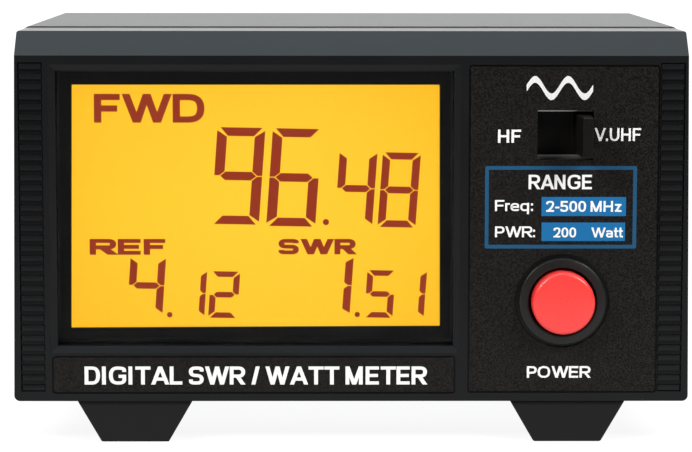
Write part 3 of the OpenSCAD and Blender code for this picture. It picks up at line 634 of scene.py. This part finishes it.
def lettering(form, words, x0, x1, z0, z1, stem, bar, front, back):
    """Adds raised words that fill the given limits. Stem and bar are shares of the capitals' height."""
    height = z1 - z0
    fixed = sum(stem for glyph in words if letters[glyph][0] == 0)
    free = sum(letters[glyph][0] + letters[glyph][1] for glyph in words) - letters[words[-1]][1]
    stretch = ((x1 - x0) / height - fixed) / free
    left = 0
    for glyph in words:
        ink, gap, strokes = letters[glyph]
        width = ink * stretch if ink else stem
        for order, stroke in enumerate(strokes):
            proud = front - order * 0.002 * mm
            closed = stroke[0] == stroke[-1]
            corners = stroke[:-1] if closed else stroke
            placed = [[stem / 2 + x * (width - stem), bar / 2 + z * (1 - bar), *corner]
                      for x, z, *corner in corners]
            if not closed:
                for end, beside in ((0, 1), (-1, -2)):
                    if stroke[end][1] == stroke[beside][1]:
                        placed[end][0] = stroke[end][0] * width
                    else:
                        placed[end][1] = stroke[end][1]
            sides = [[(x0 + (left + spot.x) * height, z0 + spot.y * height) for spot in side]
                     for side in stroke_sides(rounded_path(placed, closed), closed, stem, bar)]
            if closed:
                raise_loop(form, sides[0], sides[1], proud, back)
            else:
                raise_outline(form, sides[0] + sides[1][::-1], proud, back)
        left += width + gap * stretch


def piece_from(form, name, finish):
    """Turns the faces of a mesh under construction outwards and gives it a finish."""
    bmesh.ops.recalc_face_normals(form, faces=form.faces)
    mesh = bpy.data.meshes.new(name)
    form.to_mesh(mesh)
    form.free()
    return new_piece(name, mesh, finish)


def case_piece(form, name, finish):
    """A mesh under construction becomes a piece of the case."""
    join_case(piece_from(form, name, finish))


shown = bmesh.new()
for figure, x0, x1, z0, z1, upright, level in (
        ("9", -31.78, -19.40, 49.16, 71.05, 2.27, 1.92), ("6", -19.32, -6.65, 48.70, 70.81, 2.27, 1.92),
        ("4", -3.88, 5.86, 48.75, 65.78, 1.75, 1.55), ("8", 5.85, 15.64, 48.48, 65.40, 1.75, 1.55),
        ("4", -50.95, -41.96, 28.50, 41.88, 1.68, 1.45), ("1", -34.76, -32.67, 28.00, 38.75, 1.30, 1.2),
        ("2", -32.55, -25.20, 27.78, 38.40, 1.40, 1.25), ("1", -2.20, 0.53, 28.40, 42.00, 1.50, 1.3),
        ("5", 2.85, 10.05, 27.84, 38.66, 1.40, 1.25), ("1", 14.98, 17.15, 27.80, 38.68, 1.30, 1.2)):
    draw_digit(shown, figure, x0 * mm, x1 * mm, z0 * mm, z1 * mm, upright * mm, level * mm)
for x, z, radius in ((-5.8, 49.65, 0.70), (-41.25, 28.5, 0.62), (1.32, 28.55, 0.60)):
    draw_dot(shown, x * mm, z * mm, radius * mm)
for words, x0, x1, z0, z1, stem, bar in (
        ("FWD", -57.98, -33.12, 72.15, 78.61, 0.255, 0.215),
        ("REF", -59.25, -42.14, 42.21, 45.80, 0.40, 0.25), ("SWR", -16.51, 0.93, 42.31, 45.81, 0.38, 0.25)):
    lettering(shown, words, x0 * mm, x1 * mm, z0 * mm, z1 * mm, stem, bar, segment_front, segment_back)
case_piece(shown, "display_segments", segment_ink)

# ---------- display lens ----------
# A clear acrylic pane laid in the window from behind, polished on both faces.
clear_acrylic = Finish("clear_acrylic", {
    "Transmission Weight": 1.0, "IOR": 1.17, "Base Color": (0.97, 0.97, 0.97, 1)})
clear_acrylic.polish(clear_acrylic.noise(9 * mm), 0.0, 0.02)
lens_low, lens_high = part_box("display_lens")
border_depth = 0.05 * mm
lens = rounded_bar("fine_display_lens", lens_low, lens_high - Vector((0, border_depth, 0)),
                   [(lambda spot: True, 0.12 * mm, 2)], clear_acrylic)
stand_for(lens, "display_lens")

# A black border is printed on its back, and the lit part of the cell shows inside it.
border_ink = Finish("border_ink", {"Roughness": 0.7, "Specular IOR Level": 0.02})
border_ink.tint(border_ink.noise(1 * mm), (0.002, 0.002, 0.002), (0.004, 0.004, 0.004))
border_form = bmesh.new()
margin = 0.2 * mm
outside = [(lens_high.x - margin, lens_low.z + margin), (lens_high.x - margin, lens_high.z - margin),
           (lens_low.x + margin, lens_high.z - margin), (lens_low.x + margin, lens_low.z + margin)]
inside = [(x * mm, z * mm) for x, z in ((20.07, 26.07), (19.77, 80.80), (-62.87, 80.78), (-63.51, 25.68))]
raise_loop(border_form, outside, inside, lens_high.y - 0.042 * mm, lens_high.y - 0.012 * mm)
case_piece(border_form, "lens_border", border_ink)

# ---------- printed plates ----------
# Polyester films with a fine orange-peel face, printed dark grey and stuck in their recesses.
# The legends are screen printed on them in white and blue.
plate_film = Finish("plate_film", {"Specular IOR Level": 0.11})
peel = plate_film.noise(0.42 * mm, 2)
fleck = plate_film.noise(0.30 * mm, 3, 0.7)
fleck_share = plate_film.node("MapRange", {}, {"Value": fleck, "From Min": 0.40, "From Max": 0.62})
plate_film.tint(fleck_share, (0.0015, 0.0012, 0.0011), (0.0150, 0.0132, 0.0120))
plate_film.polish(peel, 0.28, 0.40)
plate_film.relief(peel, 0.02 * mm, 0.5)
for node in ("name_plate", "control_plate"):
    refine(node, plate_film, 0.06 * mm, 2)

film_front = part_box("control_plate")[0].y
print_front = film_front - 0.03 * mm


def print_ink(name, colour, brighter):
    ink = Finish(name, {"Roughness": 0.45, "Specular IOR Level": 0.3})
    ink.tint(ink.noise(0.5 * mm), colour, brighter)
    return ink


white_ink = print_ink("white_ink", (0.66, 0.66, 0.66), (0.72, 0.72, 0.72))
frame_ink = print_ink("frame_ink", (0.002, 0.052, 0.120), (0.004, 0.062, 0.140))
bar_ink = print_ink("bar_ink", (0.000, 0.100, 0.265), (0.001, 0.112, 0.295))


def print_words(name, lines, front):
    form = bmesh.new()
    for words, x0, x1, z0, z1, stem, bar in lines:
        lettering(form, words, x0 * mm, x1 * mm, z0 * mm, z1 * mm, stem, bar, front, film_front)
    case_piece(form, name, white_ink)


print_words("name_plate_legend", [("DIGITAL SWR / WATT METER", -60.30, 17.10, 13.28, 17.42, 0.21, 0.175)],
            print_front)
print_words("control_plate_legend", [
    ("HF", 32.75, 37.90, 68.15, 71.10, 0.195, 0.165), ("V.UHF", 54.40, 64.78, 68.55, 71.45, 0.165, 0.145),
    ("RANGE", 39.7, 53.9, 57.70, 60.95, 0.185, 0.155), ("Freq:", 32.19, 40.73, 52.77, 55.26, 0.185, 0.155),
    ("PWR:", 32.24, 41.24, 46.85, 49.30, 0.19, 0.16), ("POWER", 39.68, 54.08, 14.82, 17.48, 0.20, 0.17)],
            print_front)
print_words("range_bar_legend", [("2-500 MHz", 43.7, 60.6, 52.60, 55.05, 0.19, 0.165),
                                 ("200", 45.4, 50.5, 46.80, 49.05, 0.19, 0.165),
                                 ("Watt", 53.9, 61.0, 46.80, 49.05, 0.18, 0.16)], print_front - 0.03 * mm)


def plate_outline(x0, x1, z0, z1, radius):
    """A rectangle with round corners, anticlockwise."""
    points = []
    steps = 5
    for cx, cz, start in ((x1 - radius, z1 - radius, 0), (x0 + radius, z1 - radius, 90),
                          (x0 + radius, z0 + radius, 180), (x1 - radius, z0 + radius, 270)):
        for i in range(steps + 1):
            angle = math.radians(start + 90 * i / steps)
            points.append((cx + radius * math.cos(angle), cz + radius * math.sin(angle)))
    return points


frame_form = bmesh.new()
raise_loop(frame_form, plate_outline(29.93 * mm, 64.02 * mm, 44.28 * mm, 62.92 * mm, 0.45 * mm),
           plate_outline(30.78 * mm, 63.17 * mm, 45.13 * mm, 62.07 * mm, 0.12 * mm), print_front, film_front)
case_piece(frame_form, "range_frame", frame_ink)
bars_form = bmesh.new()
for x0, x1, z0, z1 in ((42.64, 61.63, 51.64, 55.94), (42.70, 61.49, 45.98, 50.17)):
    raise_outline(bars_form, plate_outline(x0 * mm, x1 * mm, z0 * mm, z1 * mm, 0.1 * mm),
                  print_front, film_front)
case_piece(bars_form, "range_bars", bar_ink)

# A plain sine wave stands where a maker would put its own mark.
wave_form = bmesh.new()
wave_steps = 48
wave_left = 39.1
wave_width = 14.8
wave_middle = 80.4
wave_swing = 1.95
wave_half = 0.75
wave_lap = 0.02
crest = []
for i in range(wave_steps + 1):
    along = i / wave_steps
    height = wave_middle + wave_swing * math.sin(along * 2 * math.tau)
    crest.append((wave_left + wave_width * along, height))
for (x0, z0), (x1, z1) in zip(crest, crest[1:]):
    corners = ((x0 - wave_lap, z0 - wave_half), (x1 + wave_lap, z1 - wave_half),
               (x1 + wave_lap, z1 + wave_half), (x0 - wave_lap, z0 + wave_half))
    raise_outline(wave_form, [(x * mm, z * mm) for x, z in corners], print_front, film_front)
case_piece(wave_form, "wave_mark", white_ink)

# ---------- band switch ----------
# A two-position slide switch in a pressed steel frame, held behind the face by two screws.
# Its black lever stands out through the slot and carries the sprung wipers.
lever_plastic = Finish("lever_plastic", {"Specular IOR Level": 0.1})
lever_grain = lever_plastic.noise(0.35 * mm, 2)
lever_plastic.tint(lever_grain, (0.003, 0.0025, 0.002), (0.007, 0.0055, 0.0045))
lever_plastic.polish(lever_grain, 0.36, 0.48)
lever_plastic.relief(lever_grain, 0.02 * mm, 0.5)
refine("band_switch_knob", lever_plastic, 0.35 * mm, 4)


def metal(name, cloud, low, high, grain, smooth, rough, metallic=1.0):
    """A metal clouded between two colours and two roughnesses. Cloud and grain are noise settings."""
    finish = Finish(name, {"Metallic": metallic})
    finish.tint(finish.noise(*cloud), low, high)
    finish.polish(finish.noise(*grain), smooth, rough)
    return finish


plated_steel = metal("plated_steel", (5 * mm, 3), (0.50, 0.51, 0.53), (0.62, 0.62, 0.62),
                     (1.2 * mm, 3), 0.28, 0.45)
dress(plated_steel, "band_switch_frame")

paper_laminate = Finish("paper_laminate", {"Roughness": 0.6})
paper_laminate.tint(paper_laminate.noise(1.5 * mm, 3), (0.09, 0.035, 0.012), (0.14, 0.06, 0.02))
dress(paper_laminate, "band_switch_base")

brass = metal("brass", (2 * mm, 2), (0.62, 0.42, 0.13), (0.74, 0.52, 0.20), (0.6 * mm, 3), 0.22, 0.4)
dress(brass, "band_switch_wipers")


def lathe_rings(form, profile, centre_x, centre_z, closed, steps=96):
    """Turns a (radius, depth) profile round an axis along Y."""
    rings = []
    for radius, depth in profile:
        if radius < 1e-7:
            rings.append([form.verts.new((centre_x, depth, centre_z))] * steps)
        else:
            rings.append([form.verts.new((centre_x + radius * math.cos(i * math.tau / steps), depth,
                                          centre_z + radius * math.sin(i * math.tau / steps)))
                          for i in range(steps)])
    pairs = list(zip(rings, rings[1:])) + ([(rings[-1], rings[0])] if closed else [])
    for ring, following in pairs:
        for i in range(steps):
            corners = []
            for vertex in (ring[i], ring[(i + 1) % steps], following[(i + 1) % steps], following[i]):
                if vertex not in corners:
                    corners.append(vertex)
            if len(corners) > 2:
                form.faces.new(corners)


def round_corner(middle, radius, start, end, steps):
    """Points on an arc in a (radius, depth) profile, from one angle to another in degrees."""
    return [(middle[0] + radius * math.cos(math.radians(start + (end - start) * i / steps)),
             middle[1] + radius * math.sin(math.radians(start + (end - start) * i / steps)))
            for i in range(steps + 1)]


def turned(name, profile, centre_x, centre_z, finish, closed=False, crease=40):
    form = bmesh.new()
    lathe_rings(form, profile, centre_x, centre_z, closed)
    piece = piece_from(form, name, finish)
    piece.data.shade_smooth()
    piece.data.set_sharp_from_angle(angle=math.radians(crease))
    return piece


def pan_screw(name, shank, length, head, height, finish):
    """A cross-recessed pan-head screw along Y, seated at the origin, its head towards +Y."""
    crown = [(head * math.sin(a), height * (0.35 + 0.65 * math.cos(a)))
             for a in (math.radians(i * 10) for i in range(10))]
    profile = [(0, height)] + crown[1:] + [(head, 0), (shank, 0), (shank, -length + shank), (0, -length)]
    screw = turned(name, profile, 0, 0, finish)
    cut(screw, [((-w, height * 0.4, -h), (w, height + mm, h)) for w, h in (
        (head * 0.55, head * 0.13), (head * 0.13, head * 0.55))])
    screw.data.shade_smooth()
    screw.data.set_sharp_from_angle(angle=math.radians(35))
    return screw


def move_mesh(piece, matrix):
    piece.data.transform(matrix)
    piece.data.update()


def screw_set(node, shank, length, head, height, turn, start, finish, *rows):
    """Screws of one kind in regular rows, in place of their CAD node."""
    screws = pan_screw("fine_" + node, shank * mm, length * mm, head * mm, height * mm, finish)
    move_mesh(screws, Matrix.Translation(start) @ turn.to_4x4())
    in_rows(screws, finish, *rows)
    stand_for(screws, node)


heads_back = Matrix.Identity(3)
heads_down = Matrix.Rotation(math.radians(-90), 3, "X")
ear = 18.9 * mm
band_low, band_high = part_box("band_switch_frame")
band_x = (band_low.x + band_high.x) / 2
screw_set("band_switch_screws", 1, 4.6, 2, 1.4, heads_back, (band_x - ear, face + 6.6 * mm, 69.85 * mm),
          plated_steel, 2, (2 * ear, 0, 0))

# ---------- power switch ----------
# A round panel switch: a satin black ring and threaded barrel through the face, a nut and
# washer behind it, and a red cap that is pushed in against a coil spring.
push_low, push_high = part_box("power_switch_body")
push_x = (push_low.x + push_high.x) / 2
push_z = (push_low.z + push_high.z) / 2
ring_lacquer = Finish("ring_lacquer", {"Specular IOR Level": 0.26})
ring_grain = ring_lacquer.noise(0.18 * mm, 2)
ring_lacquer.tint(ring_lacquer.noise(3 * mm), (0.006, 0.0055, 0.005), (0.010, 0.009, 0.0085))
ring_lacquer.polish(ring_grain, 0.28, 0.40)
ring_lacquer.relief(ring_grain, 0.012 * mm, 0.5)
ring_r = (push_high.x - push_low.x) / 2
ring_front = push_low.y
bore_r = 7.2 * mm
barrel_r = 7.55 * mm
barrel_back = push_high.y
seat = face + 0.6 * mm
ring_profile = [(bore_r, seat), (7.62 * mm, ring_front + 0.35 * mm)]
ring_profile += round_corner((7.92 * mm, ring_front + 0.3 * mm), 0.3 * mm, 180, 270, 4)
ring_profile += [(8.35 * mm, ring_front + 0.02 * mm), (9.3 * mm, ring_front + 0.38 * mm)]
ring_profile += round_corner((ring_r - 0.3 * mm, ring_front + 0.7 * mm), 0.3 * mm, -68, 0, 4)
ring_profile += [(ring_r, seat), (barrel_r, seat), (barrel_r, barrel_back), (bore_r, barrel_back)]
ring = turned("fine_power_switch_body", ring_profile, push_x, push_z, ring_lacquer, closed=True, crease=50)

spiral = Recipe("thread_or_coil", {
    "Turns": "Float", "Radius": "Float", "Length": "Float", "Wire": "Float", "Sides": "Int",
    "Start": "Vector", "Material": "Material"})
helix = spiral.node("CurveSpiral", {
    "Resolution": 40, "Rotations": spiral.given["Turns"], "Start Radius": spiral.given["Radius"],
    "End Radius": spiral.given["Radius"], "Height": spiral.given["Length"]})
wire_round = spiral.node("CurvePrimitiveCircle", {
    "Resolution": spiral.given["Sides"], "Radius": spiral.given["Wire"]})
coil = spiral.node("CurveToMesh", {"Curve": helix, "Profile Curve": wire_round, "Fill Caps": True})
placed_coil = spiral.node("Transform", {
    "Geometry": coil, "Translation": spiral.given["Start"], "Rotation": (math.radians(-90), 0, 0)})
spiral.end(spiral.node("JoinGeometry", {"Geometry": placed_coil}))
spiral.tree.links.new(spiral.given["Geometry"], spiral.tree.nodes["Join Geometry"].inputs[0])


def add_thread(piece, finish, x, z, radius, front, back, pitch):
    """Wraps a ridge round a barrel, the height of a thread of that pitch."""
    wire = pitch * 0.42
    spiral.run(piece, finish, {
        "Turns": (back - front) / pitch, "Radius": radius - wire, "Length": back - front, "Wire": wire,
        "Sides": 6, "Start": (x, front, z)})


add_thread(ring, ring_lacquer, push_x, push_z, 8 * mm, seat + 1.2 * mm, barrel_back - 0.6 * mm, 1.0 * mm)
stand_for(ring, "power_switch_body")

cap_plastic = Finish("cap_plastic", {})
cap_plastic.tint(cap_plastic.noise(6 * mm, 2), (0.72, 0.031, 0.027), (0.76, 0.040, 0.036))
cap_plastic.polish(cap_plastic.noise(0.4 * mm, 2), 0.24, 0.34)
cap_plastic.relief(cap_plastic.noise(0.5 * mm, 2), 0.006 * mm, 0.5)
cap_low, cap_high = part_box("power_switch_cap")
cap_r = (cap_high.x - cap_low.x) / 2
rim = 1.0 * mm
cap_profile = [(0, cap_low.y), (cap_r * 0.3, cap_low.y + 0.03 * mm), (cap_r * 0.6, cap_low.y + 0.13 * mm)]
cap_profile += round_corner((cap_r - rim, cap_low.y + rim + 0.25 * mm), rim, 280, 360, 10)
cap_profile += [(cap_r, cap_high.y), (0, cap_high.y)]
cap = turned("fine_power_switch_cap", cap_profile, push_x, push_z, cap_plastic, crease=60)
stand_for(cap, "power_switch_cap")

refine("power_switch_nut", plated_steel, 0.2 * mm, 2)
refine("power_switch_washer", plated_steel, 0.1 * mm, 2)

nylon = Finish("nylon", {"Roughness": 0.45, "Subsurface Weight": 0.1, "Subsurface Scale": 0.001})
nylon.tint(nylon.noise(4 * mm), (0.72, 0.68, 0.58), (0.80, 0.76, 0.66))
dress(nylon, "power_switch_plunger")
dress(holder_plastic, "power_switch_base")
dress(brass, "power_switch_terminals")

spring_low, spring_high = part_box("power_switch_spring")
wire_r = 0.3 * mm
spring = new_piece("fine_power_switch_spring", bpy.data.meshes.new("spring"), plated_steel)
spiral.run(spring, plated_steel, {
    "Turns": 6.0, "Radius": (spring_high.x - spring_low.x) / 2 - wire_r,
    "Length": spring_high.y - spring_low.y - 2 * wire_r, "Wire": wire_r, "Sides": 10,
    "Start": (push_x, spring_low.y + wire_r, push_z)})
spring.data.shade_smooth()
stand_for(spring, "power_switch_spring")
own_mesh(spring)

# ---------- display board ----------
# A green glass-fibre board on four posts behind the display, with its driver chips,
# regulator, plug headers, crystal and smoothing capacitors.
solder_mask = Finish("solder_mask", {})
tracks = solder_mask.node("TexBrick", {}, {
    "Vector": solder_mask.place(), "Scale": 1 / (9 * mm), "Mortar Size": 0.03, "Color1": (1, 1, 1, 1),
    "Color2": (1, 1, 1, 1), "Mortar": (0, 0, 0, 1)}, 1)
solder_mask.tint(tracks, (0.010, 0.090, 0.030), (0.020, 0.150, 0.055))
solder_mask.polish(solder_mask.noise(2 * mm), 0.25, 0.4)
dress(solder_mask, "display_board", "hf_sensor_board", "vu_sensor_board")

chip_epoxy = Finish("chip_epoxy", {"Specular IOR Level": 0.3})
epoxy_grain = chip_epoxy.noise(0.25 * mm, 3)
chip_epoxy.tint(epoxy_grain, (0.012, 0.012, 0.013), (0.03, 0.03, 0.032))
chip_epoxy.polish(epoxy_grain, 0.5, 0.7)
dress(chip_epoxy, "board_components")
post_left = -70 * mm
post_right = 28.4 * mm
post_low = 24.0 * mm
post_high = 80.5 * mm
screw_set("board_screws", 1.1, 8, 2.2, 1.5, heads_back, (post_left, face + 13.6 * mm, post_low),
          plated_steel, 2, (post_right - post_left, 0, 0), 2, (0, 0, post_high - post_low))

# ---------- chassis ----------
# Zinc-plated steel folded up at the front and at both sides. Four screws through its
# upright hold the bezel, and two tabs at the back take the rear panel.
zinc_sheet = Finish("zinc_sheet", {"Metallic": 1.0})
spangle = zinc_sheet.node("TexVoronoi", {}, {"Vector": zinc_sheet.place(), "Scale": 1 / (5 * mm)}, 0)
zinc_sheet.tint(spangle, (0.46, 0.47, 0.49), (0.60, 0.61, 0.62))
zinc_sheet.polish(spangle, 0.30, 0.46)
refine("bottom_chassis", zinc_sheet, 0.25 * mm, 2)
boss_x = 69.7 * mm
boss_low = 15.2 * mm
boss_high = 87.4 * mm
screw_set("bezel_screws", 1.35, 10, 2.6, 1.7, heads_back, (-boss_x, face + 24.4 * mm, boss_low),
          plated_steel, 2, (2 * boss_x, 0, 0), 2, (0, 0, boss_high - boss_low))

# ---------- feet ----------
# Four moulded rubber wedges, wider at the case than at the table, each held by a sunk screw.
foot_rubber = Finish("foot_rubber", {"Specular IOR Level": 0.08})
rubber_grain = foot_rubber.noise(0.3 * mm, 3)
foot_rubber.tint(rubber_grain, (0.007, 0.007, 0.0075), (0.013, 0.013, 0.014))
foot_rubber.polish(rubber_grain, 0.42, 0.60)
foot_rubber.relief(rubber_grain, 0.03 * mm, 0.6)
for node in ("front_left_foot", "front_right_foot", "rear_left_foot", "rear_right_foot"):
    refine(node, foot_rubber, 0.4 * mm, 3)
foot_x = 49 * mm
foot_step = 87.2 * mm
screw_set("foot_screws", 1.35, 8.5, 2.75, 1.7, heads_down, (-foot_x, face + 9.8 * mm, 5.5 * mm),
          plated_steel, 2, (2 * foot_x, 0, 0), 2, (0, foot_step, 0))

# ---------- couplers ----------
# Two tinned steel boxes soldered round the sockets' inner ends. One holds a ferrite ring
# coupler for the lower band, the other a strip line for the upper bands.
tin_plate = metal("tin_plate", (8 * mm, 4), (0.55, 0.55, 0.54), (0.70, 0.69, 0.66), (8 * mm, 4), 0.22, 0.42)
dress(tin_plate, "hf_coupler_box", "vu_coupler_box")
dress(brass, "hf_line", "vu_line")
ferrite = Finish("ferrite", {"Roughness": 0.6})
ferrite_grain = ferrite.noise(0.5 * mm, 4)
ferrite.tint(ferrite_grain, (0.02, 0.02, 0.022), (0.05, 0.05, 0.052))
ferrite.relief(ferrite_grain, 0.03 * mm, 0.5)
dress(ferrite, "hf_toroid")

# ---------- rear panel ----------
# A flat painted steel plate with a turned-in top edge, held to the chassis by two black screws.
cover_paint = Finish("cover_paint", {})
paint_peel = cover_paint.noise(0.7 * mm, 2)
paint_cloud = cover_paint.noise(25 * mm, 2)
cover_paint.tint(paint_cloud, (0.038, 0.036, 0.036), (0.049, 0.047, 0.047))
cover_paint.polish(paint_peel, 0.40, 0.52)
cover_paint.relief(paint_peel, 0.03 * mm, 0.4)
refine("rear_panel", cover_paint, 0.15 * mm, 2)
black_steel = metal("black_steel", (1.5 * mm, 2), (0.015, 0.015, 0.016), (0.03, 0.03, 0.03),
                    (0.4 * mm, 2), 0.3, 0.45, 0.6)
tab_x = 50 * mm
screw_set("panel_screws", 1.45, 4.5, 2.75, 1.7, heads_back, (-tab_x, face + 109.6 * mm, 15.5 * mm),
          black_steel, 2, (2 * tab_x, 0, 0))

# ---------- sockets ----------
# Four nickel-plated UHF sockets, each with a threaded barrel, a cream insulator and a slit
# centre contact. Four small screws through each square flange hold it to the panel.
nickel = metal("nickel", (3 * mm, 3), (0.62, 0.61, 0.57), (0.74, 0.73, 0.70), (3 * mm, 3), 0.16, 0.30)
cream_resin = Finish("cream_resin", {"Roughness": 0.4})
cream_resin.tint(cream_resin.noise(2 * mm, 3), (0.74, 0.67, 0.50), (0.84, 0.78, 0.62))
gilt = metal("gilt", (1 * mm, 2), (0.83, 0.58, 0.20), (0.90, 0.66, 0.28), (0.4 * mm, 2), 0.18, 0.30)
thread_pitch = 1.058 * mm
thread_r = 7.9375 * mm
flange_back = face + 112.6 * mm
outer_x = 52 * mm
inner_x = 20 * mm
for socket, x in (("hf_tx", -outer_x), ("hf_ant", -inner_x), ("vu_tx", inner_x), ("vu_ant", outer_x)):
    shell_low, shell_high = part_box(socket + "_shell")
    socket_z = (shell_low.z + shell_high.z) / 2
    shell = cad_copy(socket + "_shell", nickel)
    sleeve_form = bmesh.new()
    lathe_rings(sleeve_form, [(7.35 * mm, flange_back + 0.5 * mm), (9 * mm, flange_back + 0.5 * mm),
                              (9 * mm, shell_high.y - 0.9 * mm), (7.94 * mm, shell_high.y - 0.9 * mm),
                              (7.5 * mm, shell_high.y + 0.1 * mm), (7.35 * mm, shell_high.y + 0.1 * mm)],
                x, socket_z, True, 64)
    subtract(shell, piece_from(sleeve_form, "sleeve", nickel))
    soften(shell, 0.12 * mm, 2)
    add_thread(shell, nickel, x, socket_z, thread_r, flange_back + 1.0 * mm, shell_high.y - 1.5 * mm,
               thread_pitch)
    stand_for(shell, socket + "_shell")
    refine(socket + "_insulator", cream_resin, 0.12 * mm, 2)
    refine(socket + "_contact", gilt, 0.08 * mm, 2)

hole_step = 18.25 * mm
flange_screws = pan_screw("fine_socket_screws", 1.45 * mm, 8 * mm, 2.45 * mm, 1.75 * mm, nickel)
move_mesh(flange_screws, Matrix.Translation((
    -outer_x - hole_step / 2, flange_back, socket_z - hole_step / 2)))
in_rows(flange_screws, nickel, 2, (hole_step, 0, 0), 2, (0, 0, hole_step))
in_rows(flange_screws, nickel, 2, (outer_x - inner_x, 0, 0), 2, (outer_x + inner_x, 0, 0))
stand_for(flange_screws, "socket_screws")

# ---------- supply jack and wires ----------
# A small round jack for the 12 V supply, clamped by a nut inside the panel, and the
# insulated hook-up wires that join it and the couplers to the display board.
refine("dc_jack", holder_plastic, 0.25 * mm, 3)
dress(plated_steel, "dc_jack_pin", "dc_jack_nut")
wire_jacket = Finish("wire_jacket", {"Roughness": 0.45})
wire_side = wire_jacket.noise(40 * mm, 0)
wire_jacket.feed("Base Color", wire_jacket.node("ValToRGB", {"stops": [
    (0.42, (0.45, 0.02, 0.015)), (0.50, (0.012, 0.012, 0.012)), (0.58, (0.60, 0.42, 0.03))]}, {0: wire_side}))
dress(wire_jacket, "supply_wires", "sensor_wires")

# ---------- cover ----------
# Sheet steel folded over the top and both sides and painted dark grey with a faint peel.
# Two black screws at each side hold it to the chassis.
refine("top_cover", cover_paint, 0.15 * mm, 2)
side_screws = pan_screw("fine_cover_screws", 1.45 * mm, 5 * mm, 2.75 * mm, 1.6 * mm, black_steel)
right_heads = side_screws.data.copy()
cover_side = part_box("top_cover")[1].x
first_screw = Vector((0, face + 44 * mm, 17.5 * mm))
sides = bmesh.new()
for side, mesh in ((-1, side_screws.data), (1, right_heads)):
    mesh.transform(Matrix.Translation(first_screw + Vector((side * cover_side, 0, 0)))
                   @ Matrix.Rotation(math.radians(-90 * side), 4, "Z"))
    sides.from_mesh(mesh)
bpy.data.objects.remove(side_screws)
cover_screws = piece_from(sides, "fine_cover_screws", black_steel)
cover_screws.data.set_sharp_from_angle(angle=math.radians(35))
in_rows(cover_screws, black_steel, 2, (0, 48.4 * mm, 0))
stand_for(cover_screws, "cover_screws")
